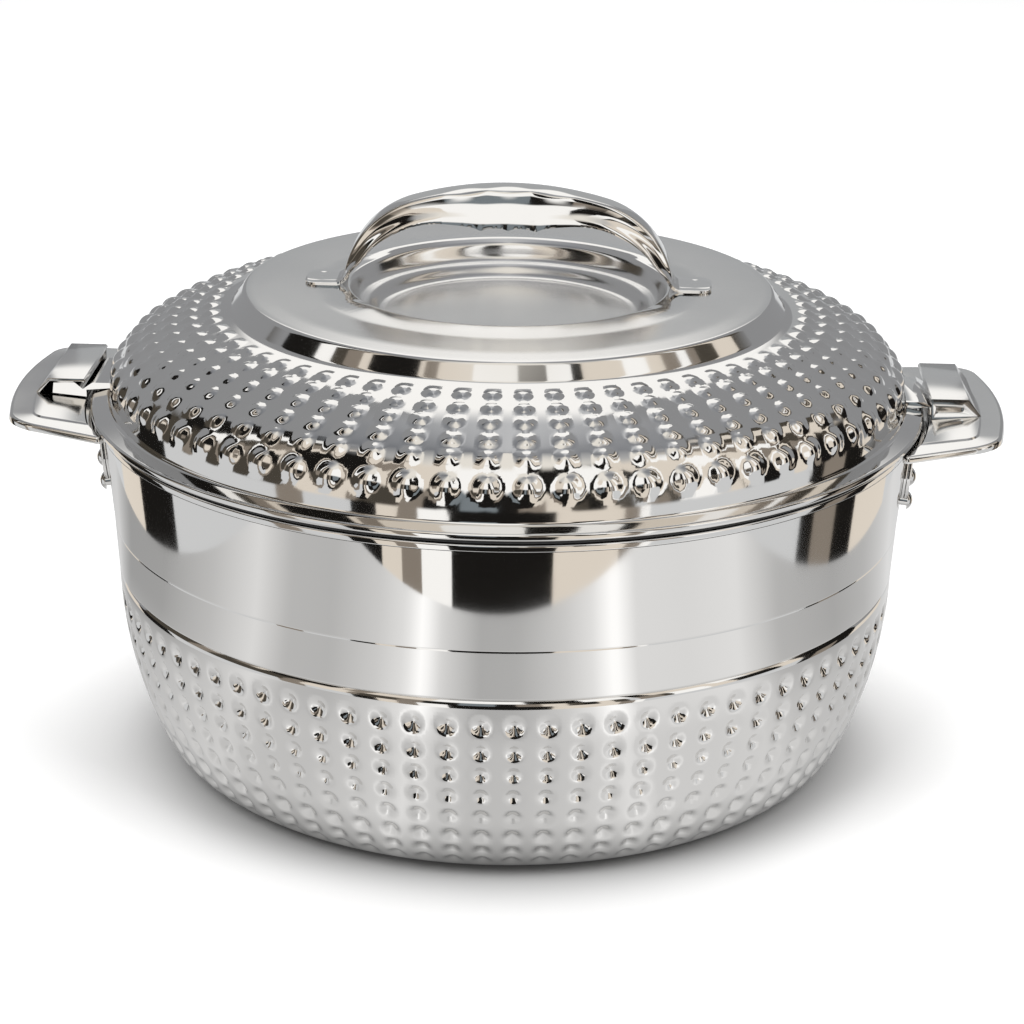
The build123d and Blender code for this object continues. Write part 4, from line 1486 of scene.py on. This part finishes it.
def blend(tree, factor, first, second):
    """Mix of two colours."""
    inputs = {"Factor": factor, "A": first, "B": second}
    return add_node(tree, "Mix", inputs, data_type="RGBA").outputs["Result"]


def room_surface(tree):
    """What the steel mirrors: three storeys of upright strips under a paler ceiling."""
    turn, height = bearing_of(tree)
    colour = bearing_ramp(tree, turn, BELOW_TABLE, "CONSTANT")
    for stops, low, high, curve in (
        (EYE_LEVEL, -2, 1, "CONSTANT"),
        (WINDOW_LEVEL, 22, 30, "CONSTANT"),
        (CEILING, 57, 68, "LINEAR"),
    ):
        start, end = (ROOM * math.sin(math.radians(degrees)) for degrees in (low, high))
        above = spread(tree, height, 0.0, 1.0, start, end, "SMOOTHSTEP")
        colour = blend(tree, above, colour, bearing_ramp(tree, turn, stops, curve))
    return add_node(tree, "Emission", {"Color": colour}).outputs["Emission"]


def table_surface(tree):
    """Pale table as the steel mirrors it: streaks of light, and the pot's shade close to its foot."""
    turn, _ = bearing_of(tree)
    away = from_axis(tree)
    tones = bearing_ramp(tree, turn, [(degrees, (tone,) * 3) for degrees, tone in TABLE_TONES], "LINEAR")
    even, dark = (0.70, 0.70, 0.70, 1), 0.08
    strength = spread(tree, away, 0.35, 1.0, *STREAKS_GROW, "SMOOTHSTEP")
    streaks = blend(tree, strength, even, tones)
    shade = spread(tree, away, dark, 1.0, *SHADE_FADES, "SMOOTHSTEP")
    return add_node(tree, "Emission", {"Color": streaks, "Strength": shade}).outputs["Emission"]


def floor_surface(tree):
    """Matt white, with a contact shadow painted into its colour close to the pot's foot; further out it glows
    a little where it is seen.
    """
    away = from_axis(tree)
    dark, white, glow_strength = 0.20, 0.86, 0.22
    # painted contact shadow: the floor's diffuse colour goes from dark at the pot's foot to white further out
    painted_contact_shadow = spread(tree, away, dark, white, *CONTACT_SHADOW_FADES, "SMOOTHSTEP")
    # the glow is left out close to the foot, which deepens the painted contact shadow
    fade = spread(tree, away, 0.0, glow_strength, *GLOW_GROWS, "SMOOTHSTEP")
    matt = add_node(tree, "BsdfDiffuse", {"Color": painted_contact_shadow})
    lift = calculate(tree, "MULTIPLY", seen_ray(tree), fade)
    glow = add_node(tree, "Emission", {"Color": (1, 1, 1, 1), "Strength": lift})
    both = {0: matt.outputs["BSDF"], 1: glow.outputs["Emission"]}
    return add_node(tree, "AddShader", both).outputs["Shader"]


def seen_ray(tree):
    """1 where the camera sees, straight or mirrored or through glass."""
    path = add_node(tree, "LightPath").outputs
    first = calculate(tree, "ADD", path["Is Camera Ray"], path["Is Glossy Ray"])
    return calculate(tree, "ADD", first, path["Is Transmission Ray"], clamp=True)


def place_stage(name, material, camera):
    """Make the active object a stage piece that either the camera sees or only the steel mirrors."""
    piece = bpy.context.object
    piece.name = name
    material.cycles.emission_sampling = "NONE"
    piece.data.materials.append(material)
    piece.visible_camera = camera
    piece.visible_glossy = not camera
    for ray in ("diffuse", "shadow", "transmission", "volume_scatter"):
        setattr(piece, "visible_" + ray, camera)
    piece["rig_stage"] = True


class CASSEROLE_OT_stage(bpy.types.Operator):
    """Set up the white floor, the room that the steel mirrors, the lamps and the camera"""

    bl_idname = "casserole.stage"
    bl_label = "Stage"

    def execute(self, context):
        choose()
        bpy.ops.mesh.primitive_plane_add(size=24, location=(0, 0, 0))
        place_stage("floor", shared_material("white_floor", floor_surface), True)
        bpy.ops.mesh.primitive_plane_add(size=2 * TABLE, location=(0, 0, 0))
        place_stage("table", shared_material("table_card", table_surface), False)
        bpy.ops.mesh.primitive_uv_sphere_add(segments=96, ring_count=48, radius=ROOM, location=(0, 0, 0))
        place_stage("room_card", shared_material("room_card", room_surface), False)

        self.lamp("key_softbox", (-1.1, -1.5, 2.1), 1.3, 34)
        self.lamp("fill_softbox", (1.5, -1.1, 1.9), 1.3, 26)
        self.lamp("top_softbox", (0.0, 0.6, 2.6), 1.8, 30)

        world = bpy.data.worlds.new("white_room")
        context.scene.world = world
        world.use_nodes = True
        tree = world.node_tree
        tree.nodes.clear()
        lit = add_node(tree, "Background", {"Strength": 0.55}).outputs["Background"]
        seen = add_node(tree, "Background", {"Color": (1, 1, 1, 1)}).outputs["Background"]
        both = add_node(tree, "MixShader", {"Fac": seen_ray(tree), 1: lit, 2: seen})
        add_node(tree, "OutputWorld", {"Surface": both.outputs["Shader"]})

        self.camera(context)
        context.scene.view_settings.view_transform = "Standard"
        return {"FINISHED"}

    def lamp(self, name, place, size, power):
        """Square softbox that looks at the pot."""
        bpy.ops.object.light_add(type="AREA", location=place)
        lamp = bpy.context.object
        lamp.name = name
        lamp.data.size = size
        lamp.data.energy = power
        aim = Vector((0, 0, 0.1)) - Vector(place)
        lamp.rotation_euler = aim.to_track_quat("-Z", "Y").to_euler()
        lamp.visible_glossy = False

    def camera(self, context):
        """Camera in front of the pot, a little to its right, looking down at it."""
        turned, yaw, pitch, roll = (math.radians(degrees) for degrees in (2.2, 0.14, 20.18, 0.74))
        turn = Matrix.Rotation(turned, 4, "Z")
        place = turn @ Vector((0, -0.930, 0.428))
        level = Vector((math.sin(yaw), math.cos(yaw), 0)) * math.cos(pitch)
        ahead = turn @ (level - Vector((0, 0, math.sin(pitch))))
        side = turn @ Vector((math.cos(yaw), -math.sin(yaw), 0))
        up = side.cross(ahead)
        right = math.cos(roll) * side + math.sin(roll) * up
        above = -math.sin(roll) * side + math.cos(roll) * up
        axes = Matrix((right, above, -ahead)).transposed().to_4x4()
        bpy.ops.object.camera_add()
        camera = bpy.context.object
        camera.name = "camera"
        camera.matrix_world = Matrix.Translation(place) @ axes
        camera.data.sensor_width = 36
        camera.data.lens = 94.18
        camera.data.clip_start = 0.01
        context.scene.camera = camera


# ---------------------------------------------------------------- panel and main
class CASSEROLE_PT_panel(bpy.types.Panel):
    """Lists the pieces and their sizes"""

    bl_idname = "CASSEROLE_PT_panel"
    bl_label = "Chapati casserole"
    bl_space_type = "VIEW_3D"
    bl_region_type = "UI"
    bl_category = "Casserole"

    def draw(self, context):
        layout = self.layout
        for group in (context.scene.pot_sizes, context.scene.lid_sizes, context.scene.finishes):
            box = layout.box()
            for label in group.__annotations__:
                box.prop(group, label)
        for operator in STEPS:
            layout.operator(operator.bl_idname)


STEPS = (
    CASSEROLE_OT_stage,
    CASSEROLE_OT_pot_shell,
    CASSEROLE_OT_bowl,
    CASSEROLE_OT_seal,
    CASSEROLE_OT_lid_skin,
    CASSEROLE_OT_lid_liner,
    CASSEROLE_OT_bow,
    CASSEROLE_OT_side_handles,
    CASSEROLE_OT_rivets,
    CASSEROLE_OT_twist_lock,
    CASSEROLE_OT_pot_foam,
    CASSEROLE_OT_inner_parts,
)
CLASSES = (PotSizes, LidSizes, Finishes, *STEPS, CASSEROLE_PT_panel)


def register():
    """Register the classes and hang the sizes on the scene."""
    for made in CLASSES:
        bpy.utils.register_class(made)
    bpy.types.Scene.pot_sizes = PointerProperty(type=PotSizes)
    bpy.types.Scene.lid_sizes = PointerProperty(type=LidSizes)
    bpy.types.Scene.finishes = PointerProperty(type=Finishes)


def unregister():
    """Take the sizes and the classes away again."""
    del bpy.types.Scene.finishes
    del bpy.types.Scene.lid_sizes
    del bpy.types.Scene.pot_sizes
    for made in reversed(CLASSES):
        bpy.utils.unregister_class(made)


def main():
    """Make every piece and the stage."""
    register()
    for step in STEPS:
        group, name = step.bl_idname.split(".")
        getattr(getattr(bpy.ops, group), name)()


if __name__ == "__main__":
    main()
